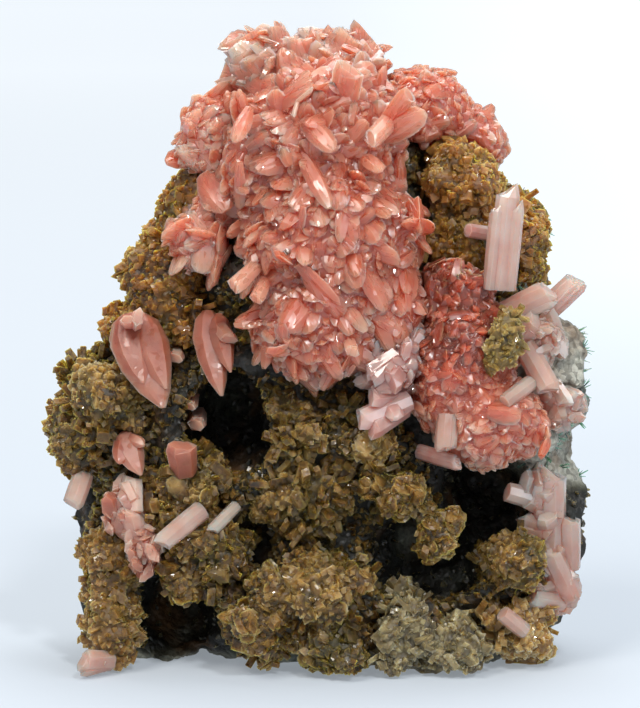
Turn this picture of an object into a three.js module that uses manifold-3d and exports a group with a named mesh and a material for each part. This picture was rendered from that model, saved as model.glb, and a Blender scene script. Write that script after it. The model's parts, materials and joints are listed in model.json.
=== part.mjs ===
// A cabinet specimen of hureaulite: coral-pink radiating sprays and pale pink prisms, grown together with
// crusts of brown siderite on a wedge of altered grey-green host rock, which stands on its trimmed foot.
// Millimetres, +Z up. +X is to the right of someone who faces the crystals, who looks along +Y.
// Every piece is a list of shapes that can be made a little larger than they are. The rock comes first, then
// the crusts on it, the sprays, the fans and the single crystals. Each is cut by the larger copy of what it
// grew on, which leaves a thin clear gap between two neighbours.
import * as THREE from "three";
import { mergeVertices } from "three/addons/utils/BufferGeometryUtils.js";
import Module from "manifold-3d";

const wasm = await Module();
wasm.setup();

// Driving dimensions
const GAP = 0.3; // clear space left between two pieces that touch
const ROUGHNESS = 0.1; // how far a lump's surface strays from an ellipsoid, as a share of its radius
const CRAGGY = { rough: 0.16, detail: 1 }; // lumps of the broken rock
const BLOCKY = { rough: 0.16, detail: 0 }; // smaller ones, with fewer and larger facets
const HOLLOW = { rough: 0.05, detail: 1 }; // the pockets in it
const BLADE_RATIO = 0.55; // thickness of a bladed crystal as a share of its width
const TIP_SHARE = 0.28; // the share of a crystal's length that its pointed end takes
const BLOCK = 60; // side of the blocks that cut along a plane
const UP = new THREE.Vector3(0, 0, 1);
const DOWN = [0, 0, -1];
const LEAST_CLEAR = 0.5; // a blade's tip stays at least this far outside its neighbours
const SAMPLES = 8; // points along a blade where its clearance is tested
const SIMPLIFY = 0.16; // details smaller than this are merged

const MATERIALS = {
  rock: { color: 0x5d6157, roughness: 0.95 },
  crust: { color: 0x8a6a3c, roughness: 0.6 },
  greyCrust: { color: 0x938c78, roughness: 0.7 },
  honeyCrust: { color: 0xb08136, roughness: 0.55 },
  spray: { color: 0xd8776a, roughness: 0.35 },
  prism: { color: 0xe3b1a6, roughness: 0.3 },
  lilac: { color: 0xc0929a, roughness: 0.3 },
};

// Small helpers

/** A repeatable source of numbers from 0 to 1. */
function seeded(seed) {
  let state = seed * 7919 + 17;
  return () => {
    state = (state * 16807) % 2147483647;
    return state / 2147483647;
  };
}

const vector = ([x, y, z]) => new THREE.Vector3(x, y, z);

/** A closed three.js geometry as a solid that can be joined and cut. */
function solidOf(geometry) {
  const bare = geometry.clone();
  bare.deleteAttribute("normal");
  bare.deleteAttribute("uv");
  const merged = mergeVertices(bare, 1e-4);
  const corners = merged.index.array;
  const kept = [];
  for (let i = 0; i < corners.length; i += 3) {
    const [a, b, c] = corners.slice(i, i + 3);
    if (a !== b && b !== c && c !== a) kept.push(a, b, c);
  }
  const mesh = new wasm.Mesh({
    numProp: 3,
    vertProperties: merged.attributes.position.array,
    triVerts: new Uint32Array(kept),
  });
  return new wasm.Manifold(mesh);
}

/** A solid as a geometry for a three.js mesh. */
function geometryOf(solid) {
  const { vertProperties, triVerts } = solid.getMesh();
  const geometry = new THREE.BufferGeometry();
  geometry.setAttribute("position", new THREE.BufferAttribute(vertProperties, 3));
  geometry.setIndex(new THREE.BufferAttribute(triVerts, 1));
  geometry.computeVertexNormals();
  return geometry;
}

// Shapes. Each is { make(grow), inside(point, margin) }

/** A slow ripple over the unit sphere, from -1 to 1, which makes a lump uneven. */
function ripple(x, y, z, seed) {
  const first = Math.sin(3.1 * x + 1.7 * seed) * Math.cos(2.6 * y - seed);
  const second = Math.sin(4.3 * z + 2.9 * seed) * Math.cos(3.7 * x + 0.6 * seed);
  return (first + second) / 2;
}

/** An uneven ellipsoid: the bulk of rock, crust and sprays. */
function lump(at, radii, { seed = at[0] + 2 * at[2], detail = 1, rough = ROUGHNESS } = {}) {
  const make = (grow = 0) => {
    const geometry = new THREE.IcosahedronGeometry(1, detail);
    const points = geometry.attributes.position;
    for (let i = 0; i < points.count; i++) {
      const [x, y, z] = [points.getX(i), points.getY(i), points.getZ(i)];
      const swell = 1 + rough * ripple(x, y, z, seed);
      points.setXYZ(
        i,
        at[0] + x * (radii[0] * swell + grow),
        at[1] + y * (radii[1] * swell + grow),
        at[2] + z * (radii[2] * swell + grow),
      );
    }
    return solidOf(geometry);
  };
  const inside = (point, margin = 0) => {
    const way = point.clone().sub(vector(at)).divide(vector(radii)).normalize();
    const swell = 1 + rough * ripple(way.x, way.y, way.z, seed);
    const reach = radii.map((radius) => radius * swell + margin);
    return point.clone().sub(vector(at)).divide(vector(reach)).length() < 1;
  };
  return { at, radii, make, inside };
}

/** Everything past a flat break through a point, with the broken face turned towards `outwards`. */
function breakAt(point, outwards) {
  const make = (grow = 0) => {
    const geometry = new THREE.BoxGeometry(BLOCK, BLOCK, BLOCK);
    geometry.translate(0, 0, BLOCK / 2 - grow);
    const turn = new THREE.Quaternion().setFromUnitVectors(UP, vector(outwards).normalize());
    geometry.applyQuaternion(turn);
    geometry.translate(...point);
    return solidOf(geometry);
  };
  return { make };
}

/** A crystal from its root to its tip, flattened towards the way it faces, with a pointed end. */
function crystal(root, tip, width, options = {}) {
  const { thickness = width * BLADE_RATIO, facing = [0, -1, 0], point = TIP_SHARE, sides = 6 } = options;
  const make = (grow = 0) => {
    const axis = vector(tip).sub(vector(root));
    const length = axis.length();
    axis.normalize();
    const flat = vector(facing);
    flat.addScaledVector(axis, -flat.dot(axis)).normalize();
    const side = new THREE.Vector3().crossVectors(axis, flat);
    const shoulder = 1 - point;
    const outline = [[0, 0], [0.82, 0], [1, shoulder], [0, 1]];
    const profile = outline.map(([r, y]) => new THREE.Vector2(r, y));
    const geometry = new THREE.LatheGeometry(profile, sides, Math.PI / 2);
    geometry.scale(width / 2 + grow, length + 2 * grow, thickness / 2 + grow);
    geometry.translate(0, -grow, 0);
    const frame = new THREE.Matrix4().makeBasis(side, axis, flat);
    frame.setPosition(vector(root));
    geometry.applyMatrix4(frame);
    return solidOf(geometry);
  };
  const inside = (place, margin = 0) => {
    const middle = new THREE.Line3(vector(root), vector(tip));
    return middle.closestPointToPoint(place, true, new THREE.Vector3()).distanceTo(place) < width / 2 + margin;
  };
  return { make, inside };
}

/** Points spread evenly over a unit sphere. */
function spiralPoint(index, count) {
  const height = 1 - (2 * (index + 0.5)) / count;
  const ring = Math.sqrt(1 - height * height);
  const turn = index * Math.PI * (3 - Math.sqrt(5));
  return new THREE.Vector3(ring * Math.cos(turn), ring * Math.sin(turn), height);
}

/** Blades that stand out all round some cores, apart from those that would run into another body. */
function radiating(cores, { count, length, width, proud, seed }, clearOf) {
  const random = seeded(seed);
  return cores.flatMap((core) => {
    const others = cores.filter((other) => other !== core);
    const blades = [];
    for (let i = 0; i < count; i++) {
      const way = spiralPoint(i, count);
      const reach = proud * (0.7 + 0.6 * random());
      const tip = vector(core.at).add(way.clone().multiply(vector(core.radii))).addScaledVector(way, reach);
      const root = tip.clone().addScaledVector(way, -length);
      const [wide, turn] = [width * (0.75 + 0.5 * random()), Math.PI * random()];
      const buried = others.some((other) => other.inside(tip, LEAST_CLEAR));
      const steps = Array.from({ length: SAMPLES + 1 }, (_, step) => root.clone().lerp(tip, step / SAMPLES));
      const outside = steps.filter((point) => !cores.some((own) => own.inside(point, -LEAST_CLEAR)));
      const blocked = outside.some((point) => clearOf.some((body) => body.inside(point, wide / 2 + GAP)));
      if (buried || blocked || tip.z < LEAST_CLEAR) continue;
      const facing = [Math.cos(turn), Math.sin(turn), 0.4];
      blades.push(crystal(root.toArray(), tip.toArray(), wide, { facing, sides: 4 }));
    }
    return blades;
  });
}

/** All the shapes of a piece joined in one solid, less its hollows, and grown by the same amount all round. */
function joined({ shapes, hollows = [] }, grow = 0) {
  const solid = wasm.Manifold.union(shapes.map((shape) => shape.make(grow)));
  return hollows.reduce((left, hollow) => left.subtract(hollow.make(-grow)), solid);
}

// The host rock: a wedge, broad at the foot, with open pockets in its front and flat breaks behind

const ROCK = [
  lump([0, 3, 5], [17, 13, 10], BLOCKY),
  lump([-12.4, 2.5, 8], [8.4, 10.6, 10.8], BLOCKY),
  lump([12, 2.5, 7], [8.6, 11.4, 10.4], BLOCKY),
  lump([-1, 3.5, 18], [16.6, 11.6, 12.6], CRAGGY),
  lump([-13.4, 2.5, 18], [7.8, 9, 9], BLOCKY),
  lump([13, 3, 18.5], [8.2, 10, 10.8], BLOCKY),
  lump([18, -0.4, 22.5], [4, 5.6, 5.6], BLOCKY),
  lump([17.8, -0.4, 11], [3.3, 5.4, 6.4], BLOCKY),
  lump([0.6, 4, 30], [13.8, 9.8, 11.2], CRAGGY),
  lump([11, 3.6, 29.6], [7.8, 8.4, 10], BLOCKY),
  lump([1.2, 4, 38.6], [9.6, 7.2, 8.6], BLOCKY),
];

const POCKETS = [
  lump([-7.2, -5, 18.9], [3.9, 9, 4.7], HOLLOW),
  lump([13, -5, 12.9], [4, 9, 4.6], HOLLOW),
  lump([8, -5, 8.5], [4.9, 8.4, 3.9], HOLLOW),
  lump([-11.2, -6, 4.1], [3.9, 8.6, 4.2], HOLLOW),
  lump([-5, -7, 9], [2.3, 4.8, 3.8], BLOCKY),
];

const ARCH = lump([-7, -9, -1.6], [7.5, 9, 3]);

const BREAKS = [
  breakAt([0, 12.4, 12], [0.1, 1, -0.12]),
  breakAt([2, 11.2, 30], [-0.16, 1, 0.34]),
  breakAt([-12, 9.4, 16], [-0.7, 1, 0.16]),
  breakAt([13, 9.6, 20], [0.62, 1, 0.22]),
  breakAt([19.4, 3, 14], [1, 0.3, 0.02]),
  breakAt([-18.4, 3, 9], [-1, 0.34, -0.14]),
  breakAt([-12.6, 5, 30], [-1, 0.4, 0.56]),
];

// Crusts of siderite: rounded growths of small brown crystals

const CRUSTS = {
  left_flank_crust: {
    material: "crust",
    shapes: [
      lump([-11.6, -0.2, 29.6], [4.4, 5.4, 5]),
      lump([-14, 0.4, 25.4], [3.5, 5.2, 3.2]),
      lump([-9.6, -1.6, 26.4], [3.4, 3.8, 3.2]),
      lump([-10, 0.8, 35.2], [2.9, 4.2, 3.4]),
    ],
  },
  left_shoulder_crust: {
    material: "crust",
    shapes: [lump([-16, -2, 20.8], [4.7, 5.4, 3.9]), lump([-18, -0.6, 17.6], [3.6, 5.4, 3.6])],
  },
  left_middle_crust: {
    material: "crust",
    shapes: [lump([-10.4, -5.4, 13.6], [3.6, 3.5, 3.5]), lump([-8.8, -6.6, 9.4], [3.7, 3.5, 3.7])],
  },
  left_foot_crust: {
    material: "honeyCrust",
    shapes: [lump([-16.4, -5, 8.2], [2.9, 3.2, 3]), lump([-16.2, -6, 3.4], [2.8, 3, 3.4])],
  },
  centre_crust: {
    material: "crust",
    shapes: [
      lump([-1.9, -5.4, 18.9], [2.9, 3.7, 3.5]),
      lump([-1.2, -5.8, 14], [4.3, 3.7, 3.5]),
      lump([1.8, -5.8, 18.4], [3.2, 3.4, 3.4]),
    ],
  },
  lower_centre_crust: {
    material: "crust",
    shapes: [
      lump([-4.2, -7.8, 4.6], [2.4, 3.1, 4.3]),
      lump([-0.2, -8.4, 6.6], [3.7, 3.6, 3.8]),
      lump([1, -8.2, 2.4], [3.7, 3.3, 2.7]),
    ],
  },
  grey_foot_crust: {
    material: "greyCrust",
    shapes: [lump([6.2, -7.4, 3], [3.3, 3.3, 3.7]), lump([10, -7.2, 1.8], [3.1, 3.1, 2.9])],
  },
  diagonal_ridge: {
    material: "crust",
    shapes: [
      lump([4.1, -7.4, 16.8], [1.7, 2.6, 2.4]),
      lump([6.4, -8, 14.2], [2.4, 2.7, 2.1]),
      lump([8.9, -8.6, 11.2], [2.3, 2.3, 2.3]),
    ],
  },
  pocket_ball: {
    material: "crust",
    shapes: [lump([14.4, -5.8, 8.7], [2.4, 2.8, 2.4])],
  },
  right_foot_crust: {
    material: "honeyCrust",
    shapes: [lump([15.2, -4.6, 3.2], [2.9, 3.3, 3.1]), lump([12.2, -5.4, 3.8], [2.2, 2.8, 2])],
  },
  top_right_crust: {
    material: "crust",
    shapes: [lump([10.6, -1.4, 37.2], [3.6, 3.8, 3.9]), lump([10.6, -1.8, 32.8], [4.3, 3.5, 3.4])],
  },
  right_flank_crust: {
    material: "crust",
    shapes: [lump([15.4, -0.4, 32.4], [2.3, 3.8, 4])],
  },
  nugget: {
    material: "honeyCrust",
    shapes: [lump([14.3, -9, 26.2], [1.8, 1.7, 2.9])],
  },
  back_left_crust: {
    material: "crust",
    shapes: [lump([-8.6, 10.6, 22.4], [4, 2.6, 4.6]), lump([-5.4, 11.4, 17.4], [3, 2.4, 3])],
  },
  back_right_crust: {
    material: "greyCrust",
    shapes: [lump([7.4, 11.6, 13.6], [4, 2.4, 3.8]), lump([11.2, 10.4, 17.4], [2.8, 2.4, 2.8])],
  },
};

// Sprays of hureaulite: bladed crystals that radiate from common roots, with their tips all round

/** A spray's cores, and how the blades stand out of them. */
const spray = (material, cores, growth) => ({ material, cores, growth });

const SPRAYS = {
  crown_spray: spray(
    "spray",
    [
      lump([0.3, -3.4, 41.4], [6.1, 5.4, 5.6]),
      lump([0.7, -5.4, 33.8], [6.9, 5.8, 6.2]),
      lump([-0.4, -6.6, 27.1], [5.1, 4.5, 4.3]),
      lump([4.6, -5.6, 28.4], [3.4, 3.9, 4]),
      lump([-4.2, -3.8, 38.4], [3.5, 3.9, 4.8]),
    ],
    { count: 13, length: 4.4, width: 2.3, proud: 1.8, seed: 3 },
  ),
  crest_tuft: spray(
    "spray",
    [lump([-4.6, 0.4, 46.3], [2.2, 2.5, 2.8]), lump([0.4, 0.8, 46.2], [4.2, 2.6, 2.4])],
    { count: 6, length: 2.8, width: 1.8, proud: 0.8, seed: 5 },
  ),
  back_crest_spray: spray(
    "spray",
    [lump([7.4, 1.6, 42.7], [4.1, 3.6, 3.3]), lump([11.8, 2.4, 39.9], [2.3, 3, 2.9])],
    { count: 6, length: 3, width: 2, proud: 0.8, seed: 7 },
  ),
  shoulder_fan: spray(
    "spray",
    [lump([-8.4, -1, 40.8], [2.4, 2.6, 3.3])],
    { count: 7, length: 3, width: 1.9, proud: 0.8, seed: 9 },
  ),
  cheek_fan: spray(
    "spray",
    [lump([-9.8, -3.6, 32.9], [2.5, 2.4, 2.9]), lump([-8, -3, 35.8], [2, 2.2, 2.2])],
    { count: 7, length: 3.2, width: 1.9, proud: 0.9, seed: 11 },
  ),
  right_spray: spray(
    "spray",
    [
      lump([10.2, -4.8, 29.4], [2.9, 2.9, 2.7]),
      lump([10.9, -6.6, 24.9], [4.1, 3.7, 3.6]),
      lump([9.8, -7, 22], [3.1, 3.3, 3]),
      lump([13, -7, 19.5], [4.3, 3.9, 3.3]),
    ],
    { count: 9, length: 3.4, width: 2, proud: 1.2, seed: 13 },
  ),
  bridge_spray: spray(
    "lilac",
    [lump([5.6, -7.2, 24], [2.6, 2.5, 3.1])],
    { count: 6, length: 2.4, width: 1.4, proud: 0.6, seed: 15 },
  ),
  left_chain: spray(
    "spray",
    [lump([-14.9, -6, 12.2], [1.4, 1.9, 2.4]), lump([-13.6, -7.6, 9.6], [1.2, 1.6, 2])],
    { count: 6, length: 1.8, width: 1.3, proud: 0.6, seed: 17 },
  ),
  rim_cluster: spray(
    "prism",
    [lump([17.8, -4.8, 20.4], [2.1, 2.2, 2])],
    { count: 7, length: 2.2, width: 1.5, proud: 0.6, seed: 19 },
  ),
  back_spray: spray(
    "spray",
    [lump([1.4, 11.6, 28.4], [3.2, 2, 3.4])],
    { count: 10, length: 2.6, width: 1.5, proud: 0.9, seed: 21 },
  ),
};

// Fans of a few broad blades that share a root

const FANS = {
  broad_fan: {
    material: "spray",
    shapes: [
      crystal([-14.6, -5, 27.2], [-12.8, -8.8, 20.7], 3, { thickness: 1.7 }),
      crystal([-15, -4.8, 27], [-14.6, -8.4, 22.3], 2.8, { thickness: 1.6 }),
      crystal([-14.2, -4.6, 27], [-12.6, -7.4, 24.2], 2, { thickness: 1.6 }),
    ],
  },
  slim_fan: {
    material: "spray",
    shapes: [
      crystal([-8.4, -4.8, 27.4], [-7.7, -8.6, 21.7], 2.3, { thickness: 1.5 }),
      crystal([-8.6, -4.8, 27.2], [-8.9, -8.2, 23.1], 1.9, { thickness: 1.4 }),
    ],
  },
  low_fan: {
    material: "spray",
    shapes: [
      crystal([-15, -5, 19], [-14.2, -7.8, 15.4], 1.9, { thickness: 1.3 }),
      crystal([-15.4, -5, 18.6], [-15.4, -7.4, 16.2], 1.6, { thickness: 1.2 }),
    ],
  },
  stub_blade: {
    material: "spray",
    shapes: [crystal([-10.4, -6.8, 14.4], [-10.7, -9, 18.1], 2.5, { thickness: 1.6, point: 0.12 })],
  },
  rim_column: {
    material: "prism",
    shapes: [
      crystal([17, -4.4, 8.6], [17, -5.6, 15.6], 2.5, { thickness: 2.2, point: 0.08 }),
      crystal([18.9, -3.8, 8.4], [18.8, -4.4, 12.4], 2.2, { thickness: 2, point: 0.1 }),
      crystal([19, -4, 5.4], [16.8, -5, 9.6], 2.1, { thickness: 2, point: 0.1 }),
      crystal([18.4, -3.8, 5], [14.4, -5.6, 5.9], 2, { thickness: 2, point: 0.12 }),
    ],
  },
};

// Single crystals, each grown on its own root: [root, tip, width, options, material]

const square = { thickness: 2.1, point: 0.12 };
const SINGLES = {
  tall_prism: [[13.4, -6.6, 29.8], [14.1, -7.4, 37.4], 2.8, { thickness: 2.3, point: 0.12 }, "prism"],
  reclining_prism: [[14, -5.6, 27.8], [17.4, -6.6, 29.6], 2.5, square, "prism"],
  flank_prism: [[17, -4, 27.6], [19.6, -5, 30.2], 2.1, { thickness: 1.9, point: 0.12 }, "prism"],
  block_prism: [[17.6, -3.2, 25.2], [16.4, -6.8, 26], 3.2, { thickness: 3, point: 0.15 }, "prism"],
  glassy_prism: [[15.6, -6.6, 25.3], [17.4, -8.6, 22.3], 1.9, { thickness: 1.5, point: 0.06 }, "prism"],
  leaning_prism: [[16.2, -8.2, 22.9], [13.8, -10.6, 21.6], 1.3, { thickness: 1.1, point: 0.1 }, "prism"],
  perched_prism: [[-9.4, -8.6, 13.2], [-12.2, -11.2, 10.9], 1.8, { thickness: 1.2, point: 0.08 }, "prism"],
  slim_prism: [[-6.6, -7.6, 13.2], [-8.4, -10, 11.6], 1, { thickness: 0.8, point: 0.08 }, "prism"],
  pocket_prism: [[16.4, -5.6, 13.6], [14.2, -6.6, 13.9], 1.5, { thickness: 1.4, point: 0.15 }, "prism"],
  foot_prism: [[15.8, -7.2, 3], [13.9, -9.1, 5], 1.3, { thickness: 1.1, point: 0.12 }, "prism"],
  lilac_blade: [[6.2, -8.4, 22], [2.4, -11.2, 20], 3, { thickness: 1.8 }, "lilac"],
  hanging_crystal: [[10.2, -9, 20.8], [9, -10.9, 18.1], 2, { thickness: 1.5 }, "prism"],
  ledge_crystal: [[7.4, -7, 17.2], [10.4, -9.8, 16.8], 1.4, { thickness: 1.2, point: 0.15 }, "lilac"],
  heel_crystal: [[-15.6, -6.4, 2], [-18.1, -9.7, 0.8], 1.7, { thickness: 1.5, point: 0.2 }, "prism"],
  elbow_crystal: [[-18.4, -3.4, 15.6], [-19.2, -5.6, 12.8], 1.7, { thickness: 1.2 }, "prism"],
  upper_twig: [[13, -4.4, 33.6], [11.2, -6.6, 34.3], 1.1, { thickness: 0.9, point: 0.15 }, "lilac"],
};

// Assembly. A piece is cut by the pieces before it in this order.

const belowFoot = breakAt([0, 0, 0], DOWN).make();

/** The largest body of a solid that cutting may have split. */
function mainBody(solid) {
  const bodies = solid.decompose();
  return bodies.reduce((largest, body) => (body.volume() > largest.volume() ? body : largest));
}

/** Whether two solids' boxes meet. */
function boxesMeet(first, second) {
  const [a, b] = [first.boundingBox(), second.boundingBox()];
  return [0, 1, 2].every((axis) => a.min[axis] < b.max[axis] && b.min[axis] < a.max[axis]);
}

const named = (group) => Object.entries(group).map(([name, made]) => ({ name, ...made }));
const singles = Object.entries(SINGLES).map(([name, [root, tip, width, options, material]]) => {
  return { name, material, shapes: [crystal(root, tip, width, options)] };
});
const rock = { name: "host_rock", material: "rock", shapes: ROCK, hollows: [...POCKETS, ARCH, ...BREAKS] };
const neighbours = [rock, ...named(CRUSTS), ...named(FANS), ...singles].flatMap((piece) => piece.shapes);
const sprays = named(SPRAYS).map(({ name, material, cores, growth }) => {
  const otherCores = named(SPRAYS).flatMap((other) => (other.name === name ? [] : other.cores));
  return { name, material, shapes: [...cores, ...radiating(cores, growth, [...neighbours, ...otherCores])] };
});

const specimen = new THREE.Group();
specimen.name = "hureaulite_specimen";
const cutters = [];
for (const piece of [rock, ...named(CRUSTS), ...sprays, ...named(FANS), ...singles]) {
  let solid = joined(piece).subtract(belowFoot);
  for (const cutter of cutters) if (boxesMeet(solid, cutter)) solid = solid.subtract(cutter);
  solid = mainBody(solid).simplify(SIMPLIFY);
  cutters.push(joined(piece, GAP));
  const mesh = new THREE.Mesh(geometryOf(solid), new THREE.MeshStandardMaterial(MATERIALS[piece.material]));
  mesh.name = piece.name;
  specimen.add(mesh);
}

// The origin is under the middle of the specimen's box, on the foot plane.
const box = new THREE.Box3().setFromObject(specimen);
const middle = box.getCenter(new THREE.Vector3());
specimen.position.set(-middle.x, -middle.y, 0);

export default specimen;
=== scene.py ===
"""The looks of a hureaulite specimen: coral sprays and pale prisms on brown siderite and altered rock.

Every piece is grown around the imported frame. A piece has a core, which is a fine copy of its frame node, and
thousands of small crystals that stand on it. Each kind of crystal is modelled once on the bench, and copied
from arrays. Lengths ending in _mm are millimetres. Everything else is in metres.
"""

import json
import logging
import math
from collections.abc import Callable, Sequence
from dataclasses import dataclass
from enum import Enum

import bmesh
import bpy
import numpy as np
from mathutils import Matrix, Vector, noise
from mathutils.bvhtree import BVHTree
from mathutils.kdtree import KDTree

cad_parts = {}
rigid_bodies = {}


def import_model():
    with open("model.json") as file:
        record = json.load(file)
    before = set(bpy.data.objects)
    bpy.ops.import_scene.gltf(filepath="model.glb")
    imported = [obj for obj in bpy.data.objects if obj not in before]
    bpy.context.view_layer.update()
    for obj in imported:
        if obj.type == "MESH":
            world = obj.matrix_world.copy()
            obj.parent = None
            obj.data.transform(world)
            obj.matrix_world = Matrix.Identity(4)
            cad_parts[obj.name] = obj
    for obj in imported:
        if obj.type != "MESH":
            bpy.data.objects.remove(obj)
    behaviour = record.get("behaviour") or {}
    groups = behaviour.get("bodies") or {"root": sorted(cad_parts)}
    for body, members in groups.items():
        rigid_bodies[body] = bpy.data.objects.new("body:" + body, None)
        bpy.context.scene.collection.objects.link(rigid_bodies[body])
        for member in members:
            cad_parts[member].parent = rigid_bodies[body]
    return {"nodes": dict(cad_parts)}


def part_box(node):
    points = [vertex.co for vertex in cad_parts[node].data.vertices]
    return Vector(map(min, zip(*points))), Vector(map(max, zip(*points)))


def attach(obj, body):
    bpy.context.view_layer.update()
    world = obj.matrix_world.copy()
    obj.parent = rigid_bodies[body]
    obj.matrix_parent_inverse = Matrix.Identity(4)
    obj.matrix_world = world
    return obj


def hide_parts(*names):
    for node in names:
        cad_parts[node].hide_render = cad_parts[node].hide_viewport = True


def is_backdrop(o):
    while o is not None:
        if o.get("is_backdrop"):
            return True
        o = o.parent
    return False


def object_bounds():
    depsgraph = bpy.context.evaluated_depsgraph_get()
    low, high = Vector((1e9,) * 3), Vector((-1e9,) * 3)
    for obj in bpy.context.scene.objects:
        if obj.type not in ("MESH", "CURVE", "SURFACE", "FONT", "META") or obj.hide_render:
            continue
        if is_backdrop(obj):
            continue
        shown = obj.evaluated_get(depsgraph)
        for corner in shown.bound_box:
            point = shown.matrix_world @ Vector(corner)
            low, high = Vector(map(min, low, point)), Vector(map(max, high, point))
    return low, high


MM = 0.001
BODY = "root"
VALUES = ("tone", "along", "across", "reach")  # what each corner of a facet tells its finish
SPARE_MM = 0.4  # how far crystals may stand out of the frame's box
GRIT_LEVEL = 0.6  # the grey of a roughness texture that leaves the surface where it is
MOST_LAYERS = 40  # how many layers of crystals a piece may have
STRAY = 0.5  # how far chance turns what grows, next to the surface's normal or the pull of a hub
NODULE_BIAS = 1.5  # above one, more nodules are small than large
NODULE_SQUEEZE = (0.75, 1.2)  # a nodule's width and height, as shares of its radius
LENGTH_BIAS = 1.3  # above one, more crystals are short than long
SHEAF_DEPTH = 0.4  # how deep the foot of a sheaf is, next to its spread
SHEAF_DROP = 0.2  # how much shorter the outermost crystals of a sheaf are
SHEAF_TONE = 0.6  # how much of its tone a crystal has in common with its sheaf
PAINTED_LIGHT_SLOPE = 1.6  # how steeply a patch of painted light or shade fades; above one, it is even round its middle

log = logging.getLogger("specimen")


# Small helpers


def linear(code: str) -> tuple[float, float, float, float]:
    """Turn an sRGB hex colour into linear light.

    Args:
        code: six hex digits after a hash sign.

    Returns:
        Red, green, blue and an alpha of one.
    """
    shares = [int(code[i : i + 2], 16) / 255 for i in (1, 3, 5)]
    light = [s / 12.92 if s <= 0.04045 else ((s + 0.055) / 1.055) ** 2.4 for s in shares]
    return (*light, 1.0)


def unit(ways: np.ndarray) -> np.ndarray:
    """Scale each row to a length of one."""
    return ways / np.maximum(np.linalg.norm(ways, axis=-1, keepdims=True), 1e-12)


def clear_selection() -> None:
    """Leave nothing selected, in object mode."""
    if bpy.context.object and bpy.context.object.mode != "OBJECT":
        bpy.ops.object.mode_set(mode="OBJECT")
    bpy.ops.object.select_all(action="DESELECT")


def pick(piece: bpy.types.Object) -> None:
    """Make one piece the only selected and active one.

    Args:
        piece: any object of the scene.
    """
    if bpy.context.selected_objects == [piece] and bpy.context.object == piece and piece.mode == "OBJECT":
        return
    clear_selection()
    piece.select_set(True)
    bpy.context.view_layer.objects.active = piece


def apply_modifier(piece: bpy.types.Object, kind: str, **settings: object) -> None:
    """Add a modifier with its settings and apply it at once.

    Args:
        piece: the mesh object.
        kind: the modifier's type.
        settings: values set on the modifier.
    """
    modifier = piece.modifiers.new(kind.lower(), kind)
    for name, value in settings.items():
        setattr(modifier, name, value)
    pick(piece)
    bpy.ops.object.modifier_apply(modifier=modifier.name)


def add_node(
    tree: bpy.types.NodeTree, kind: str, inputs: dict | None = None, **settings: object
) -> bpy.types.Node:
    """Add a shader node with its settings, and set or link its inputs.

    Args:
        tree: the material's node tree.
        kind: the node's type name, without its prefix.
        inputs: a value or another node's output for each named or numbered input.
        settings: values set on the node itself.

    Returns:
        The new node.
    """
    node = tree.nodes.new("ShaderNode" + kind)
    for name, value in settings.items():
        setattr(node, name, value)
    for socket, value in (inputs or {}).items():
        if isinstance(value, bpy.types.NodeSocket):
            tree.links.new(value, node.inputs[socket])
        else:
            node.inputs[socket].default_value = value
    return node


def new_material(name: str) -> tuple[bpy.types.Material, bpy.types.NodeTree, bpy.types.Node]:
    """Start a material.

    Args:
        name: the material's name.

    Returns:
        The material, its node tree and its shader.
    """
    material = bpy.data.materials.new(name)
    material.use_nodes = True
    return material, material.node_tree, material.node_tree.nodes["Principled BSDF"]


def set_stops(ramp: bpy.types.ColorRamp, stops: Sequence[tuple[float, str]]) -> None:
    """Set the colours of a ramp.

    Args:
        ramp: a new colour ramp, which has two stops.
        stops: a position and a colour for each stop, in order.
    """
    first, *inner, last = stops
    for element, (position, colour) in zip(ramp.elements, (first, last)):
        element.position = position
        element.color = linear(colour)
    for position, colour in inner:
        ramp.elements.new(position).color = linear(colour)


def sparkle(
    shader: bpy.types.Node, place: bpy.types.NodeSocket, cell_mm: tuple[float, float, float], slope: float,
    roughness: tuple[float, float],
) -> None:
    """Tilt small flat cells each its own way, as tiny crystal faces are. The few that lean far are glossy.

    Args:
        shader: the material's shader.
        place: the pattern's coordinates, in millimetres.
        cell_mm: how long a cell is each way.
        slope: the steepest slope of a cell along the first coordinate.
        roughness: of the glossiest and of the dullest cells.
    """
    tree = shader.id_data
    shares = tuple(1 / side for side in cell_mm)
    scaled = add_node(tree, "VectorMath", {0: place, 1: shares}, operation="MULTIPLY").outputs[0]
    cells = add_node(tree, "TexVoronoi", {"Vector": scaled, "Scale": 1.0})
    colour, seed = cells.outputs["Color"], cells.outputs["Position"]
    offset = add_node(tree, "VectorMath", {0: scaled, 1: seed}, operation="SUBTRACT").outputs[0]
    lean = add_node(tree, "VectorMath", {0: colour, 1: (0.5, 0.5, 0.5)}, operation="SUBTRACT").outputs[0]
    steepness = add_node(tree, "VectorMath", {0: offset, 1: lean}, operation="DOT_PRODUCT").outputs["Value"]
    own = add_node(tree, "SeparateColor", {0: colour}).outputs[1]
    share = add_node(tree, "MapRange", {0: own, 1: 0.7, 2: 1.0, 3: 0.2, 4: 1.0})
    height = add_node(tree, "Math", {0: steepness, 1: share.outputs[0]}, operation="MULTIPLY")
    rise = 2 * slope * cell_mm[0] * MM
    bump = add_node(tree, "Bump", {"Height": height.outputs[0], "Distance": rise, "Strength": 1.0})
    tree.links.new(bump.outputs[0], shader.inputs["Normal"])
    low, high = roughness
    gloss = add_node(tree, "MapRange", {0: share.outputs[0], 1: 0.2, 2: 0.6, 3: high, 4: low})
    tree.links.new(gloss.outputs[0], shader.inputs["Roughness"])


# Arrays of facets


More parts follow.
